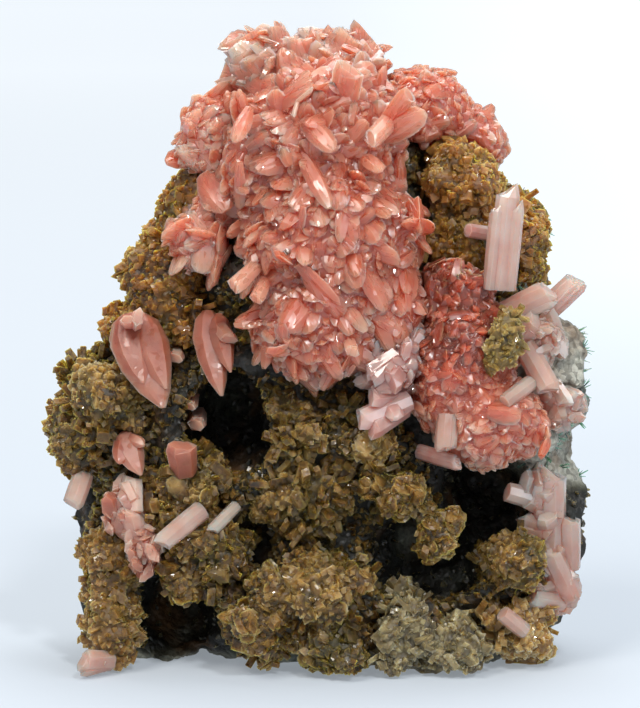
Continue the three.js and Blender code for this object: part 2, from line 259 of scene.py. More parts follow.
@dataclass
class Facets:
    """Triangles and the values at their points that the finishes read."""

    points: np.ndarray
    triangles: np.ndarray
    tone: np.ndarray
    along: np.ndarray
    across: np.ndarray
    reach: np.ndarray

    @classmethod
    def plain(cls, points: np.ndarray, triangles: np.ndarray, tone: float = 0.4) -> "Facets":
        """Facets of a core, whose points all count as roots and have their patterns laid from the front."""
        flat = np.zeros(len(points))
        return cls(points, triangles, flat + tone, flat, points[:, 0] / MM, points[:, 2] / MM)

    @classmethod
    def joined(cls, parts: Sequence["Facets"]) -> "Facets":
        """Put several sets of facets in one.

        Args:
            parts: the sets, in order.

        Returns:
            One set with all their points and triangles.
        """
        starts = np.cumsum([0] + [len(part.points) for part in parts[:-1]])
        triangles = np.concatenate([part.triangles + start for part, start in zip(parts, starts)])
        values = [np.concatenate([getattr(part, key) for part in parts]) for key in VALUES]
        return cls(np.concatenate([part.points for part in parts]), triangles, *values)

    def laid(self, name: str, home: bpy.types.Collection | None = None) -> bpy.types.Object:
        """Make a mesh object, whose values are kept apart at every corner of every facet.

        Args:
            name: the object's name.
            home: the collection it goes in, if that isn't the scene's own.

        Returns:
            The object, at the origin.
        """
        mesh = bpy.data.meshes.new(name)
        mesh.vertices.add(len(self.points))
        mesh.vertices.foreach_set("co", self.points.astype(np.float32).ravel())
        mesh.loops.add(self.triangles.size)
        mesh.loops.foreach_set("vertex_index", self.triangles.astype(np.int32).ravel())
        mesh.polygons.add(len(self.triangles))
        mesh.polygons.foreach_set("loop_start", np.arange(0, self.triangles.size, 3, dtype=np.int32))
        mesh.update(calc_edges=True)
        for key in VALUES:
            attribute = mesh.attributes.new(key, "FLOAT", "CORNER")
            attribute.data.foreach_set("value", getattr(self, key)[self.triangles.ravel()].astype(np.float32))
        piece = bpy.data.objects.new(name, mesh)
        (home or bpy.context.scene.collection).objects.link(piece)
        return piece


def finished(piece: bpy.types.Object, finish: bpy.types.Material, crease: float) -> bpy.types.Object:
    """Give a piece its only material, and smooth its slight bends.

    Args:
        piece: the mesh object.
        finish: its material.
        crease: the angle, in radians, from which an edge stays sharp.

    Returns:
        The same piece.
    """
    piece.data.materials.clear()
    piece.data.materials.append(finish)
    pick(piece)
    bpy.ops.object.shade_smooth_by_angle(angle=crease)
    return piece


def fused(body: bpy.types.Object, layers: Sequence[Facets]) -> None:
    """Fuse layers of closed shells with a closed body, so that one skin is left.

    Args:
        body: the mesh object that the shells are joined to.
        layers: sets of shells, of which no two in a set meet.
    """
    rack = bpy.data.collections.new("layers")
    bpy.context.scene.collection.children.link(rack)
    for layer in layers:
        layer.laid("layer", rack)
    before = len(body.data.polygons)
    settings = {"operation": "UNION", "solver": "MANIFOLD", "operand_type": "COLLECTION", "collection": rack}
    apply_modifier(body, "BOOLEAN", **settings)
    if len(body.data.polygons) == before:
        log.warning("%s: its layers were not joined", body.name)
    for layer in list(rack.objects):
        bpy.data.objects.remove(layer)
    bpy.data.collections.remove(rack)


# Crystals, modelled once each from the root at zero to the tip at one along Z


@dataclass(frozen=True)
class Ring:
    """One level of a crystal: its height, its width and thickness shares, and a sideways shift."""

    height: float
    across: float
    through: float
    shift: float = 0.0


@dataclass(frozen=True)
class Stock:
    """One modelled crystal as arrays: X is its thickness, Y its width and Z its length."""

    points: np.ndarray
    triangles: np.ndarray


class Bench:
    """A crystal modelled by hand: a prism that is cut into rings, drawn in or out, and tipped at its end."""

    def __init__(self, sides: int) -> None:
        """Start from a straight prism.

        Args:
            sides: how many sides it has.
        """
        clear_selection()
        bpy.ops.mesh.primitive_cylinder_add(vertices=sides, radius=0.5, depth=1.0, location=(0, 0, 0.5))
        bpy.ops.object.transform_apply(location=True, rotation=False, scale=False)
        self.piece = bpy.context.object
        bpy.ops.object.mode_set(mode="EDIT")

    def choose(self, wanted: Callable[[Vector], bool]) -> None:
        """Select points by their place.

        Args:
            wanted: tells whether a place is wanted.
        """
        mesh = bmesh.from_edit_mesh(self.piece.data)
        for vertex in mesh.verts:
            vertex.select_set(wanted(vertex.co))
        mesh.select_flush_mode()
        bmesh.update_edit_mesh(self.piece.data)

    def cut(self, height: float) -> None:
        """Cut a ring of edges round the crystal at a height."""
        bpy.ops.mesh.select_all(action="SELECT")
        bpy.ops.mesh.bisect(plane_co=(0, 0, height), plane_no=(0, 0, 1))

    def draw(self, ring: Ring) -> None:
        """Draw a ring of the prism in or out, and shift it across.

        Args:
            ring: the ring's height, and its new size.
        """
        self.choose(lambda place: abs(place.z - ring.height) < 1e-3)
        size = (ring.through, ring.across, 1)
        bpy.ops.transform.resize(value=size, center_override=(0, 0, ring.height))
        if ring.shift:
            bpy.ops.transform.translate(value=(0, ring.shift, 0))

    def tip(self, from_height: float, angle: float) -> None:
        """Slant the end face by an angle."""
        self.choose(lambda place: place.z > from_height)
        bpy.ops.transform.rotate(value=angle, orient_axis="X", center_override=(0, 0, 1))

    def flute(self, sides: int, depth: float) -> None:
        """Pull in every other corner, which leaves grooves along the crystal.

        Args:
            sides: how many sides the prism has.
            depth: how far the corners come in, as a share of the radius.
        """
        turn = 2 * math.pi / sides
        self.choose(lambda place: round(math.atan2(place.x, place.y) / turn) % 2 == 1)
        bpy.ops.transform.resize(value=(1 - depth, 1 - depth, 1), center_override=(0, 0, 0.5))

    def stock(self) -> Stock:
        """Take the crystal off the bench.

        Returns:
            The crystal as triangles.
        """
        bpy.ops.mesh.select_all(action="SELECT")
        bpy.ops.mesh.quads_convert_to_tris()
        bpy.ops.mesh.normals_make_consistent(inside=False)
        bpy.ops.object.mode_set(mode="OBJECT")
        mesh = self.piece.data
        points = np.array([vertex.co for vertex in mesh.vertices], float)
        triangles = np.array([list(face.vertices) for face in mesh.polygons], int)
        bpy.data.objects.remove(self.piece)
        return Stock(points, triangles)


class Habit(Enum):
    """The kinds of crystal that the specimen shows, each as sides, rings, slant and groove depth."""

    PETAL = (6, (Ring(0, 0.5, 0.6), Ring(0.32, 0.9, 0.95), Ring(0.62, 1, 1), Ring(0.86, 0.74, 0.7),
                 Ring(1, 0.22, 0.24, 0.03)), 0, 0)
    TABLET = (6, (Ring(0, 0.85, 0.9), Ring(0.9, 1, 1), Ring(1, 0.84, 0.7)), 0.32, 0)
    PRISM = (8, (Ring(0, 0.94, 0.94), Ring(0.5, 1, 1), Ring(0.95, 0.97, 0.97),
                 Ring(1, 0.8, 0.7, 0.05)), 0.25, 0.04)
    SCALE = (6, (Ring(0, 0.7, 0.8), Ring(0.6, 1, 1), Ring(1, 0.42, 0.24)), 0, 0)
    RHOMB = (4, (Ring(0, 0.9, 0.9), Ring(0.86, 1, 1), Ring(1, 0.8, 0.75)), 0.3, 0)
    LEAF = (6, (Ring(0, 0.5, 0.6), Ring(0.3, 0.9, 0.95), Ring(0.6, 1, 1), Ring(0.88, 0.76, 0.7, 0.02),
                Ring(1, 0.3, 0.26, 0.06)), 0, 0)
    RIDGE = (4, (Ring(0, 0.6, 0.7), Ring(0.3, 0.92, 0.95), Ring(0.62, 1, 1), Ring(0.86, 0.8, 0.76, 0.03),
                 Ring(1, 0.34, 0.3, 0.08)), 0, 0)
    SHIELD = (6, (Ring(0, 0.3, 0.3), Ring(0.1, 0.76, 0.8), Ring(0.32, 1, 1), Ring(0.58, 0.86, 0.95, 0.05),
                  Ring(0.82, 0.54, 0.62, 0.13), Ring(1, 0.1, 0.14, 0.22)), 0, 0)
    SPLINTER = (5, (Ring(0, 0.7, 0.8), Ring(0.62, 0.9, 0.9), Ring(1, 0.1, 0.1, 0.06)), 0, 0)
    NEEDLE = (4, (Ring(0, 1, 1), Ring(1, 0.35, 0.35)), 0, 0)

    def modelled(self) -> Stock:
        """Model this kind of crystal on the bench.

        Returns:
            The crystal as triangles.
        """
        sides, rings, slant, groove = self.value
        bench = Bench(sides)
        for ring in rings[1:-1]:
            bench.cut(ring.height)
        for ring in rings:
            bench.draw(ring)
        if groove:
            bench.flute(sides, groove)
        if slant:
            bench.tip(rings[-2].height + 1e-3, slant)
        return bench.stock()


@dataclass
class Crowd:
    """Where many crystals of one kind stand, which way they point and face, and how large each is."""

    roots: np.ndarray
    axes: np.ndarray
    facings: np.ndarray
    lengths: np.ndarray
    widths: np.ndarray
    thicknesses: np.ndarray
    tones: np.ndarray

    def facets(self, stock: Stock) -> Facets:
        """Copy one modelled crystal to every place.

        Args:
            stock: the crystal.

        Returns:
            All the copies as one set of facets.
        """
        facings = unit(self.facings - self.axes * np.sum(self.facings * self.axes, axis=1, keepdims=True))
        sides = np.cross(self.axes, facings)
        sizes = np.stack([self.thicknesses, self.widths, self.lengths], axis=1)
        local = stock.points[None] * sizes[:, None]
        points = self.roots[:, None] + local[..., :1] * facings[:, None]
        points += local[..., 1:2] * sides[:, None] + local[..., 2:] * self.axes[:, None]
        count, corners = len(self.roots), len(stock.points)
        triangles = stock.triangles[None] + (np.arange(count) * corners)[:, None, None]
        tone = np.repeat(self.tones, corners)
        along = np.tile(np.clip(stock.points[:, 2], 0, 1), count)
        across, reach = (local[..., 1] / MM).ravel(), (local[..., 2] / MM).ravel()
        return Facets(points.reshape(-1, 3), triangles.reshape(-1, 3), tone, along, across, reach)

    def kept(self, chosen: np.ndarray) -> "Crowd":
        """Only the chosen crystals."""
        names = ("roots", "axes", "facings", "lengths", "widths", "thicknesses", "tones")
        return Crowd(*(getattr(self, name)[chosen] for name in names))


@dataclass
class Crop:
    """A crowd and the modelled crystal that it is made of."""

    crowd: Crowd
    stock: Stock

    def boxes(self) -> np.ndarray:
        """The lowest and the highest corner of every crystal, one crystal a row."""
        points = self.crowd.facets(self.stock).points.reshape(-1, len(self.stock.points), 3)
        return np.concatenate([points.min(axis=1), points.max(axis=1)], axis=1)

    def facets(self, chosen: np.ndarray) -> Facets:
        """The chosen crystals as facets."""
        return self.crowd.kept(chosen).facets(self.stock)


def layered(crops: Sequence[Crop]) -> list[Facets]:
    """Deal crystals into layers, so that no two of a layer meet.

    Args:
        crops: the crystals.

    Returns:
        The layers. The crystals that would need yet another one are left out.
    """
    boxes = np.concatenate([crop.boxes() for crop in crops])
    lows, highs = boxes[:, :3], boxes[:, 3:]
    layers = np.full(len(boxes), MOST_LAYERS)
    for i in range(len(boxes)):
        meets = np.all((lows[i] < highs[:i]) & (highs[i] > lows[:i]), axis=1)
        free = np.setdiff1d(np.arange(MOST_LAYERS), layers[:i][meets])
        if len(free):
            layers[i] = free[0]
    owners = np.split(layers, np.cumsum([len(crop.crowd.roots) for crop in crops])[:-1])
    return [
        Facets.joined([crop.facets(owner == layer) for crop, owner in zip(crops, owners)])
        for layer in range(layers[layers < MOST_LAYERS].max() + 1)
    ]


# Surfaces that crystals stand on


@dataclass
class Skin:
    """A surface as triangles with a smooth normal at each point."""

    points: np.ndarray
    normals: np.ndarray
    triangles: np.ndarray

    @classmethod
    def of(cls, piece: bpy.types.Object) -> "Skin":
        """Read a mesh object's surface.

        Args:
            piece: the mesh object.

        Returns:
            Its surface.
        """
        mesh = piece.data
        mesh.calc_loop_triangles()
        points = np.empty(len(mesh.vertices) * 3)
        mesh.vertices.foreach_get("co", points)
        normals = np.empty(len(mesh.vertices) * 3, np.float32)
        mesh.vertex_normals.foreach_get("vector", normals)
        triangles = np.empty(len(mesh.loop_triangles) * 3, np.int32)
        mesh.loop_triangles.foreach_get("vertices", triangles)
        return cls(points.reshape(-1, 3), normals.reshape(-1, 3).astype(float), triangles.reshape(-1, 3))

    def spots(self, spacing_mm: float, random: np.random.Generator) -> tuple[np.ndarray, np.ndarray]:
        """Spread places evenly over the surface, no two closer than the spacing.

        Args:
            spacing_mm: the least distance between two places.
            random: where chance comes from.

        Returns:
            The places and their normals.
        """
        first, second, third = (self.points[self.triangles[:, i]] for i in range(3))
        areas = np.linalg.norm(np.cross(second - first, third - first), axis=1) / 2
        spacing = spacing_mm * MM
        tries = int(4 * areas.sum() / spacing**2)
        chosen = random.choice(len(areas), tries, p=areas / areas.sum())
        shares = random.random((tries, 2))
        shares = np.where(shares.sum(axis=1, keepdims=True) > 1, 1 - shares, shares)
        weights = np.column_stack([1 - shares.sum(axis=1), shares])[..., None]
        corners = self.triangles[chosen]
        places = (self.points[corners] * weights).sum(axis=1)
        normals = unit((self.normals[corners] * weights).sum(axis=1))
        kept = thinned(places, spacing)
        return places[kept], normals[kept]


def thinned(places: np.ndarray, spacing: float) -> np.ndarray:
    """Choose places in order, each at least the spacing from those chosen before.

    Args:
        places: candidates, one a row.
        spacing: the least distance.

    Returns:
        The numbers of the chosen places.
    """
    tree = KDTree(len(places))
    for i, place in enumerate(places):
        tree.insert(place, i)
    tree.balance()
    free = np.ones(len(places), bool)
    kept = []
    for i, place in enumerate(places):
        if not free[i]:
            continue
        kept.append(i)
        free[[found[1] for found in tree.find_range(place, spacing)]] = False
    return np.array(kept, int)


class Frame:
    """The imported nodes: their shapes, and what lies next to each."""

    def __init__(self, nodes: dict[str, bpy.types.Object], box: tuple[Vector, Vector]) -> None:
        """Read every node's surface once.

        Args:
            nodes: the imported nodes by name.
            box: the lowest and the highest corner of the box round them all.
        """
        self.nodes = nodes
        self.low, self.high = (np.array(corner) for corner in box)
        self.skins = {name: Skin.of(node) for name, node in nodes.items()}

    def copy(self, node: str) -> bpy.types.Object:
        """Copy a node's mesh, and merge its loose triangles.

        Args:
            node: the node's name.

        Returns:
            An object that is free to be reshaped.
        """
        piece = bpy.data.objects.new(node + "_core", self.nodes[node].data.copy())
        piece.data.materials.clear()
        bpy.context.scene.collection.objects.link(piece)
        pick(piece)
        bpy.ops.object.mode_set(mode="EDIT")
        bpy.ops.mesh.select_all(action="SELECT")
        bpy.ops.mesh.remove_doubles(threshold=1e-6)
        bpy.ops.object.mode_set(mode="OBJECT")
        return piece

    def tree(self, nodes: Sequence[str]) -> BVHTree:
        """Lay a search tree over the triangles of some nodes.

        Args:
            nodes: their names.

        Returns:
            The tree.
        """
        near = [self.skins[node] for node in nodes]
        starts = np.cumsum([0] + [len(skin.points) for skin in near[:-1]])
        points = np.concatenate([skin.points for skin in near])
        triangles = np.concatenate([skin.triangles + start for skin, start in zip(near, starts)])
        return BVHTree.FromPolygons(points.tolist(), triangles.tolist())

    def open_spots(self, node: str, places: np.ndarray, normals: np.ndarray, reach_mm: float) -> np.ndarray:
        """Tell which places on a node look into the open.

        Args:
            node: the node's name.
            places: places on its surface.
            normals: their normals.
            reach_mm: how far the way out has to be free.

        Returns:
            True for each open place.
        """
        tree = self.tree([name for name in self.nodes if name != node])
        reach = reach_mm * MM
        hits = [tree.ray_cast(Vector(p), Vector(n), reach)[0] for p, n in zip(places, normals)]
        return np.array([hit is None for hit in hits])


@dataclass(frozen=True)
class Grit:
    """One layer of roughness on a core: the texture's kind, its grain and its height."""

    kind: str
    grain_mm: float
    height_mm: float


@dataclass(frozen=True)
class Nodules:
    """Round growths on a core, which break its outline.

    They have a spacing, and radii between two limits. The middle of each lies above the surface by the proud
    share of its radius, or below it where the share is negative.
    """

    spacing_mm: float
    radius_mm: tuple[float, float]
    proud: float

    def grown(self, skin: Skin, random: np.random.Generator) -> Facets:
        """Set a ball at every place, flattened a little by chance.

        Args:
            skin: the surface below.
            random: where chance comes from.

        Returns:
            The balls as facets.
        """
        places, normals = skin.spots(self.spacing_mm, random)
        count = len(places)
        radii = between(self.radius_mm, random.random(count) ** NODULE_BIAS) * MM
        stray = unit(random.normal(size=(count, 3)))
        axes = unit(normals + STRAY * stray)
        squeeze = between(NODULE_SQUEEZE, random.random((count, 2)))
        sizes = radii[:, None] * np.column_stack([np.ones(count), squeeze])
        roots = places + normals * (radii * self.proud)[:, None] - axes * sizes[:, 2:]
        lengths, widths, thicknesses = (2 * sizes[:, i] for i in (2, 1, 0))
        return Crowd(roots, axes, stray, lengths, widths, thicknesses, np.zeros(count)).facets(ball())


def between(limits: tuple[float, float], shares: np.ndarray) -> np.ndarray:
    """Values between two limits."""
    return limits[0] + (limits[1] - limits[0]) * shares


def ball() -> Stock:
    """Model a ball of facets.

    Returns:
        The ball as triangles, from zero to one along Z.
    """
    clear_selection()
    bpy.ops.mesh.primitive_ico_sphere_add(subdivisions=2, radius=0.5, location=(0, 0, 0.5))
    bpy.ops.object.transform_apply(location=True, rotation=False, scale=False)
    piece = bpy.context.object
    skin = Skin.of(piece)
    bpy.data.objects.remove(piece)
    return Stock(skin.points, skin.triangles)


@dataclass(frozen=True)
class Core:
    """How a node's copy becomes a fine, rough core.

    It swells by a little, or shrinks. Closing first fills the clefts that are narrower than twice its size.
    """

    swell_mm: float
    voxel_mm: float
    smoothing: int
    closing_mm: float = 0.0
    nodules: Nodules | None = None
    grits: tuple[Grit, ...] = ()

    def shaped(self, frame: Frame, node: str, random: np.random.Generator) -> Skin:
        """Make the core.

        Args:
            frame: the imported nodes.
            node: the node that it follows.
            random: where chance comes from.

        Returns:
            A closed surface with its foot kept above the floor.
        """
        piece = frame.copy(node)
        self.remesh(piece)
        if self.closing_mm:
            apply_modifier(piece, "DISPLACE", mid_level=0, strength=self.closing_mm * MM)
            self.remesh(piece)
        apply_modifier(piece, "DISPLACE", mid_level=0, strength=(self.swell_mm - self.closing_mm) * MM)
        if self.nodules:
            skin = Skin.of(piece)
            bpy.data.objects.remove(piece)
            lumps = self.nodules.grown(skin, random)
            piece = Facets.joined([Facets.plain(skin.points, skin.triangles), lumps]).laid("rough_core")
            apply_modifier(piece, "REMESH", mode="VOXEL", voxel_size=self.voxel_mm * MM)
            apply_modifier(piece, "SMOOTH", factor=0.5, iterations=1)
        for grit in self.grits:
            texture = bpy.data.textures.new(grit.kind.lower(), grit.kind)
            texture.noise_scale = grit.grain_mm * MM
            settings = {"texture": texture, "texture_coords": "LOCAL", "mid_level": GRIT_LEVEL}
            apply_modifier(piece, "DISPLACE", strength=grit.height_mm * MM, **settings)
        skin = Skin.of(piece)
        skin.points[:, 2] = np.maximum(skin.points[:, 2], 0)
        bpy.data.objects.remove(piece)
        return skin

    def remesh(self, piece: bpy.types.Object) -> None:
        """Give the piece an even skin and ease its corners."""
        apply_modifier(piece, "REMESH", mode="VOXEL", voxel_size=self.voxel_mm * MM)
        apply_modifier(piece, "SMOOTH", factor=0.5, iterations=self.smoothing)


def placed(piece: bpy.types.Object, slot: str, *nodes: str) -> bpy.types.Object:
    """Hang a finished piece on the body in place of its nodes.

    Args:
        piece: the mesh object.
        slot: not used.
        nodes: the nodes that it stands for.

    Returns:
        The same piece.
    """
    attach(piece, BODY)
    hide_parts(*nodes)
    return piece


# Finishes


@dataclass(frozen=True)
class CrystalFinish:
    """Hureaulite, a manganese phosphate, as it grew: glassy faces over a milky, translucent pink body.

    Light goes far into it. Its colour is painted deeper coral at the roots, partly as painted shade between
    the crystals, and paler at the tips. Fine steps on the faces glint, and some crystals are cloudy and almost
    white.
    """

    name: str
    # the lowest colour, painted shade, reached where a patch of painted shade pulls the tone down
    deep: str
    root: str
    body: str
    tip: str
    milk: str
    see_through: float
    streak_mm: float
    roughness: tuple[float, float]
    depth_mm: float
    face_mm: tuple[float, float, float]
    face_slope: float
    cloud_mm: float = 1.8
    cloud_shift: float = -0.2
    tone_share: float = 0.3
    tip_share: float = 0.35
    milky_from: float = 0.75
    milky_to: float = 1.6
    most_milk: float = 0.75

    def made(self) -> bpy.types.Material:
        """Build the material.

        Returns:
            The material, which reads the four values at each corner of a facet.
        """
        material, tree, shader = new_material(self.name)
        place = add_node(tree, "TexCoord").outputs["Object"]
        tone, along, across, reach = (
            add_node(tree, "Attribute", attribute_name=key).outputs["Fac"] for key in VALUES
        )
        own = add_node(tree, "CombineXYZ", {0: across, 1: reach, 2: tone}).outputs[0]

        # deep coral at the roots and in cloudy patches, paler towards the tips; the deeper roots are partly
        # painted shade between the crystals, and the lowest stop is painted shade
        cloud_scale = 1 / (self.cloud_mm * MM)
        cloud = add_node(tree, "TexNoise", {"Vector": place, "Scale": cloud_scale, "Detail": 3.0})
        terms = {0: cloud.outputs["Fac"], 1: 1.0, 2: self.cloud_shift}
        level = add_node(tree, "Math", terms, operation="MULTIPLY_ADD").outputs[0]
        for value, share in ((along, self.tip_share), (tone, self.tone_share)):
            terms = {0: value, 1: share, 2: level}
            level = add_node(tree, "Math", terms, operation="MULTIPLY_ADD").outputs[0]
        ramp = add_node(tree, "ValToRGB", {"Fac": level})
        set_stops(ramp.color_ramp, ((0.0, self.deep), (0.1, self.root), (0.6, self.body), (1.0, self.tip)))
        limits = {1: self.milky_from, 2: self.milky_to, 3: 0.0, 4: self.most_milk}
        milkiness = add_node(tree, "MapRange", {0: tone, **limits}).outputs[0]
        colours = {0: milkiness, 6: ramp.outputs["Color"], 7: linear(self.milk)}
        milky = add_node(tree, "Mix", colours, data_type="RGBA").outputs[2]

        # faint streaks along each crystal, as growth left them
        stretch = (1 / self.streak_mm, 0.12, 90)
        stretched = add_node(tree, "VectorMath", {0: own, 1: stretch}, operation="MULTIPLY").outputs[0]
        streak = add_node(tree, "TexNoise", {"Vector": stretched, "Scale": 1.0, "Detail": 2.0})
        flaw = add_node(tree, "MapRange", {0: streak.outputs["Fac"], 1: 0.3, 2: 0.7, 3: 0.96, 4: 1.03})
        tinted = add_node(tree, "VectorMath", {0: milky, "Scale": flaw.outputs[0]}, operation="SCALE")
        tree.links.new(tinted.outputs[0], shader.inputs["Base Color"])

        # small steps on the faces, the steepest of which are the glossiest
        sparkle(shader, own, self.face_mm, self.face_slope, self.roughness)
        shader.inputs["IOR"].default_value = 1.65
        shader.inputs["Subsurface Weight"].default_value = 1.0
        shader.inputs["Subsurface Radius"].default_value = (1.0, 0.52, 0.4)
        shader.inputs["Subsurface Scale"].default_value = self.depth_mm * MM
        shader.inputs["Transmission Weight"].default_value = self.see_through
        return material


@dataclass(frozen=True)
class SideriteFinish:
    """Siderite, an iron carbonate, as a druse: small pearly grains, brown in the mass and honey at the edges.

    Each grain faces its own way, so that a few of them twinkle while the rest stay dull.
    """

    name: str
    # the darkest colour: deep brown blots, and painted shade where a patch of painted shade pulls the tone
    # down
    deep: str
    body: str
    edge: str
    stain: str
    roughness: tuple[float, float] = (0.08, 0.5)
    patch_mm: float = 3.2
    blot_mm: float = 1.1
    grain_mm: float = 0.3
    grain_slope: float = 0.7
    depth_mm: float = 1.8

    def made(self) -> bpy.types.Material:
        """Build the material.

        Returns:
            The material, which reads the tone and how far along a grain each corner lies.
        """
        material, tree, shader = new_material(self.name)
        place = add_node(tree, "TexCoord").outputs["Object"]
        tone, along = (
            add_node(tree, "Attribute", attribute_name=key).outputs["Fac"] for key in ("tone", "along")
        )

        # blots of brown that go from grain to grain, honey where a grain ends
        blot = add_node(tree, "TexNoise", {"Vector": place, "Scale": 1 / (self.blot_mm * MM), "Detail": 2.0})
        terms = {0: blot.outputs["Fac"], 1: 1.6, 2: -0.6}
        level = add_node(tree, "Math", terms, operation="MULTIPLY_ADD").outputs[0]
        for value in (tone, along):
            level = add_node(tree, "Math", {0: value, 1: 0.2, 2: level}, operation="MULTIPLY_ADD").outputs[0]
        ramp = add_node(tree, "ValToRGB", {"Fac": level})
        set_stops(ramp.color_ramp, ((0.0, self.deep), (0.45, self.body), (0.95, self.edge)))

        # wide stains, as iron and manganese oxides leave
        patch_scale = 1 / (self.patch_mm * MM)
        patch = add_node(tree, "TexNoise", {"Vector": place, "Scale": patch_scale, "Detail": 3.0})
        blotch = add_node(tree, "MapRange", {0: patch.outputs["Fac"], 1: 0.45, 2: 0.68, 3: 0.0, 4: 0.7})
        colours = {0: blotch.outputs[0], 6: ramp.outputs["Color"], 7: linear(self.stain)}
        stained = add_node(tree, "Mix", colours, data_type="RGBA")
        tree.links.new(stained.outputs[2], shader.inputs["Base Color"])

        # facets of the grains
        real = add_node(tree, "VectorMath", {0: place, "Scale": 1 / MM}, operation="SCALE")
        sparkle(shader, real.outputs[0], (self.grain_mm,) * 3, self.grain_slope, self.roughness)
        shader.inputs["IOR"].default_value = 1.5
        shader.inputs["Subsurface Weight"].default_value = 1.0
        shader.inputs["Subsurface Radius"].default_value = (1.0, 0.75, 0.45)
        shader.inputs["Subsurface Scale"].default_value = self.depth_mm * MM
        return material


@dataclass(frozen=True)
class RockFinish:
    """Altered pegmatite rock, broken by hand: dull grey-green, near black where crystals once dissolved.

    The tone of a point runs from 0 in the pockets to 1 on the weathered outside, which is chalky and speckled
    with mineral grains, stained by rust, and veined in dark green. The pockets' black is partly painted shade.
    """

    name: str = "broken_altered_rock"
    # near black: partly the rock's own colour, partly painted shade of the deep pockets
    pocket: str = "#15140D"
    dull: str = "#3A3728"
    weathered: str = "#7C7B6C"
    chalky: str = "#B4B3A6"
    rust: str = "#6B4A26"
    green: str = "#26372D"
    patch_mm: float = 4.5
    grain_mm: float = 0.45
    speck_mm: float = 0.35
    relief_mm: float = 0.16

    def made(self) -> bpy.types.Material:
        """Build the material.

        Returns:
            The material, which reads the tone of each corner.
        """
        material, tree, shader = new_material(self.name)
        place = add_node(tree, "TexCoord").outputs["Object"]
        tone = add_node(tree, "Attribute", attribute_name="tone").outputs["Fac"]
        patch, speck = (
            add_node(
                tree, "TexNoise", {"Vector": place, "Scale": 1 / (size * MM), "Detail": detail}
            ).outputs["Fac"]
            for size, detail in ((self.patch_mm, 5.0), (self.speck_mm, 4.0))
        )
        grain = add_node(tree, "TexVoronoi", {"Vector": place, "Scale": 1 / (self.grain_mm * MM)})

        # from the dark pockets to the chalky outside, with specks
        sway = add_node(tree, "Math", {0: speck, 1: 0.5, 2: -0.25}, operation="MULTIPLY_ADD")
        level = add_node(tree, "Math", {0: tone, 1: sway.outputs[0]}, operation="ADD")
        ramp = add_node(tree, "ValToRGB", {"Fac": level.outputs[0]})
        stops = ((0.15, self.pocket), (0.42, self.dull), (0.72, self.weathered), (1.0, self.chalky))
        set_stops(ramp.color_ramp, stops)

        # rust where the patches run high, green veins where they run low
        rusty = add_node(tree, "MapRange", {0: patch, 1: 0.54, 2: 0.68, 3: 0.0, 4: 0.6})
        colours = {0: rusty.outputs[0], 6: ramp.outputs["Color"], 7: linear(self.rust)}
        stained = add_node(tree, "Mix", colours, data_type="RGBA")
        greener = add_node(tree, "MapRange", {0: patch, 1: 0.46, 2: 0.34, 3: 0.0, 4: 0.9})
        vein = add_node(tree, "Math", {0: greener.outputs[0], 1: tone}, operation="MULTIPLY")
        colours = {0: vein.outputs[0], 6: stained.outputs[2], 7: linear(self.green)}
        veined = add_node(tree, "Mix", colours, data_type="RGBA")

        # each mineral grain has its own shade and gloss
        cell = add_node(tree, "SeparateColor", {0: grain.outputs["Color"]})
        shade = add_node(tree, "MapRange", {0: cell.outputs[0], 1: 0.0, 2: 1.0, 3: 0.5, 4: 1.25})
        tinted = add_node(
            tree, "VectorMath", {0: veined.outputs[2], "Scale": shade.outputs[0]}, operation="SCALE"
        )
        tree.links.new(tinted.outputs[0], shader.inputs["Base Color"])
        relief = add_node(tree, "Math", {0: speck, 1: grain.outputs["Distance"]}, operation="SUBTRACT")
        bump = add_node(
            tree, "Bump", {"Height": relief.outputs[0], "Distance": self.relief_mm * MM, "Strength": 0.8}
        )
        tree.links.new(bump.outputs[0], shader.inputs["Normal"])
        gloss = add_node(tree, "MapRange", {0: cell.outputs[1], 1: 0.0, 2: 1.0, 3: 0.38, 4: 0.85})
        tree.links.new(gloss.outputs[0], shader.inputs["Roughness"])
        return material


# glassy and steeply stepped, which makes the sprays glitter
CORAL = CrystalFinish(
    name="coral_hureaulite_as_grown", deep="#8C3F2D", root="#B8563F", body="#C66A51", tip="#D48C74",
    milk="#F2C8B4", see_through=0.2, streak_mm=0.2, roughness=(0.05, 0.3), depth_mm=3.8,
    face_mm=(0.22, 0.8, 0.02), face_slope=0.5,
)
# etched petals: a fine rough skin that takes the shine off
DUSKY = CrystalFinish(
    name="dusky_hureaulite_petals", deep="#6E3020", root="#823E2A", body="#98543E", tip="#AA725C",
    milk="#D8B4A4", see_through=0.1, streak_mm=0.4, roughness=(0.32, 0.5), depth_mm=3.0,
    face_mm=(0.4, 0.4, 0.02), face_slope=0.2,
)
# smooth, clear prisms, nearly colourless where they are thin
PALE = CrystalFinish(
    name="pale_hureaulite_prism", deep="#B47A68", root="#C88C78", body="#D8AC9C", tip="#E4C8BA",
    milk="#F2E6DE", see_through=0.45, streak_mm=0.3, roughness=(0.05, 0.16), depth_mm=2.6,
    face_mm=(0.6, 4.0, 0.02), face_slope=0.05,
)
# the same prisms with a mauve tinge
LILAC = CrystalFinish(
    name="lilac_hureaulite_prism", deep="#94584C", root="#A86C60", body="#BE8A80", tip="#D4B2A8",
    milk="#DECAC6", see_through=0.3, streak_mm=0.3, roughness=(0.05, 0.16), depth_mm=2.6,
    face_mm=(0.6, 3.0, 0.02), face_slope=0.05,
)
# most of the crust, brown with an olive tinge
OLIVE = SideriteFinish("olive_siderite_druse", "#2A1C06", "#684A1C", "#A4844A", "#443C14")
# purer siderite on the flanks, where light shines through it like resin
AMBER = SideriteFinish("amber_siderite_druse", "#44280A", "#84541A", "#A67C3E", "#5A4812")
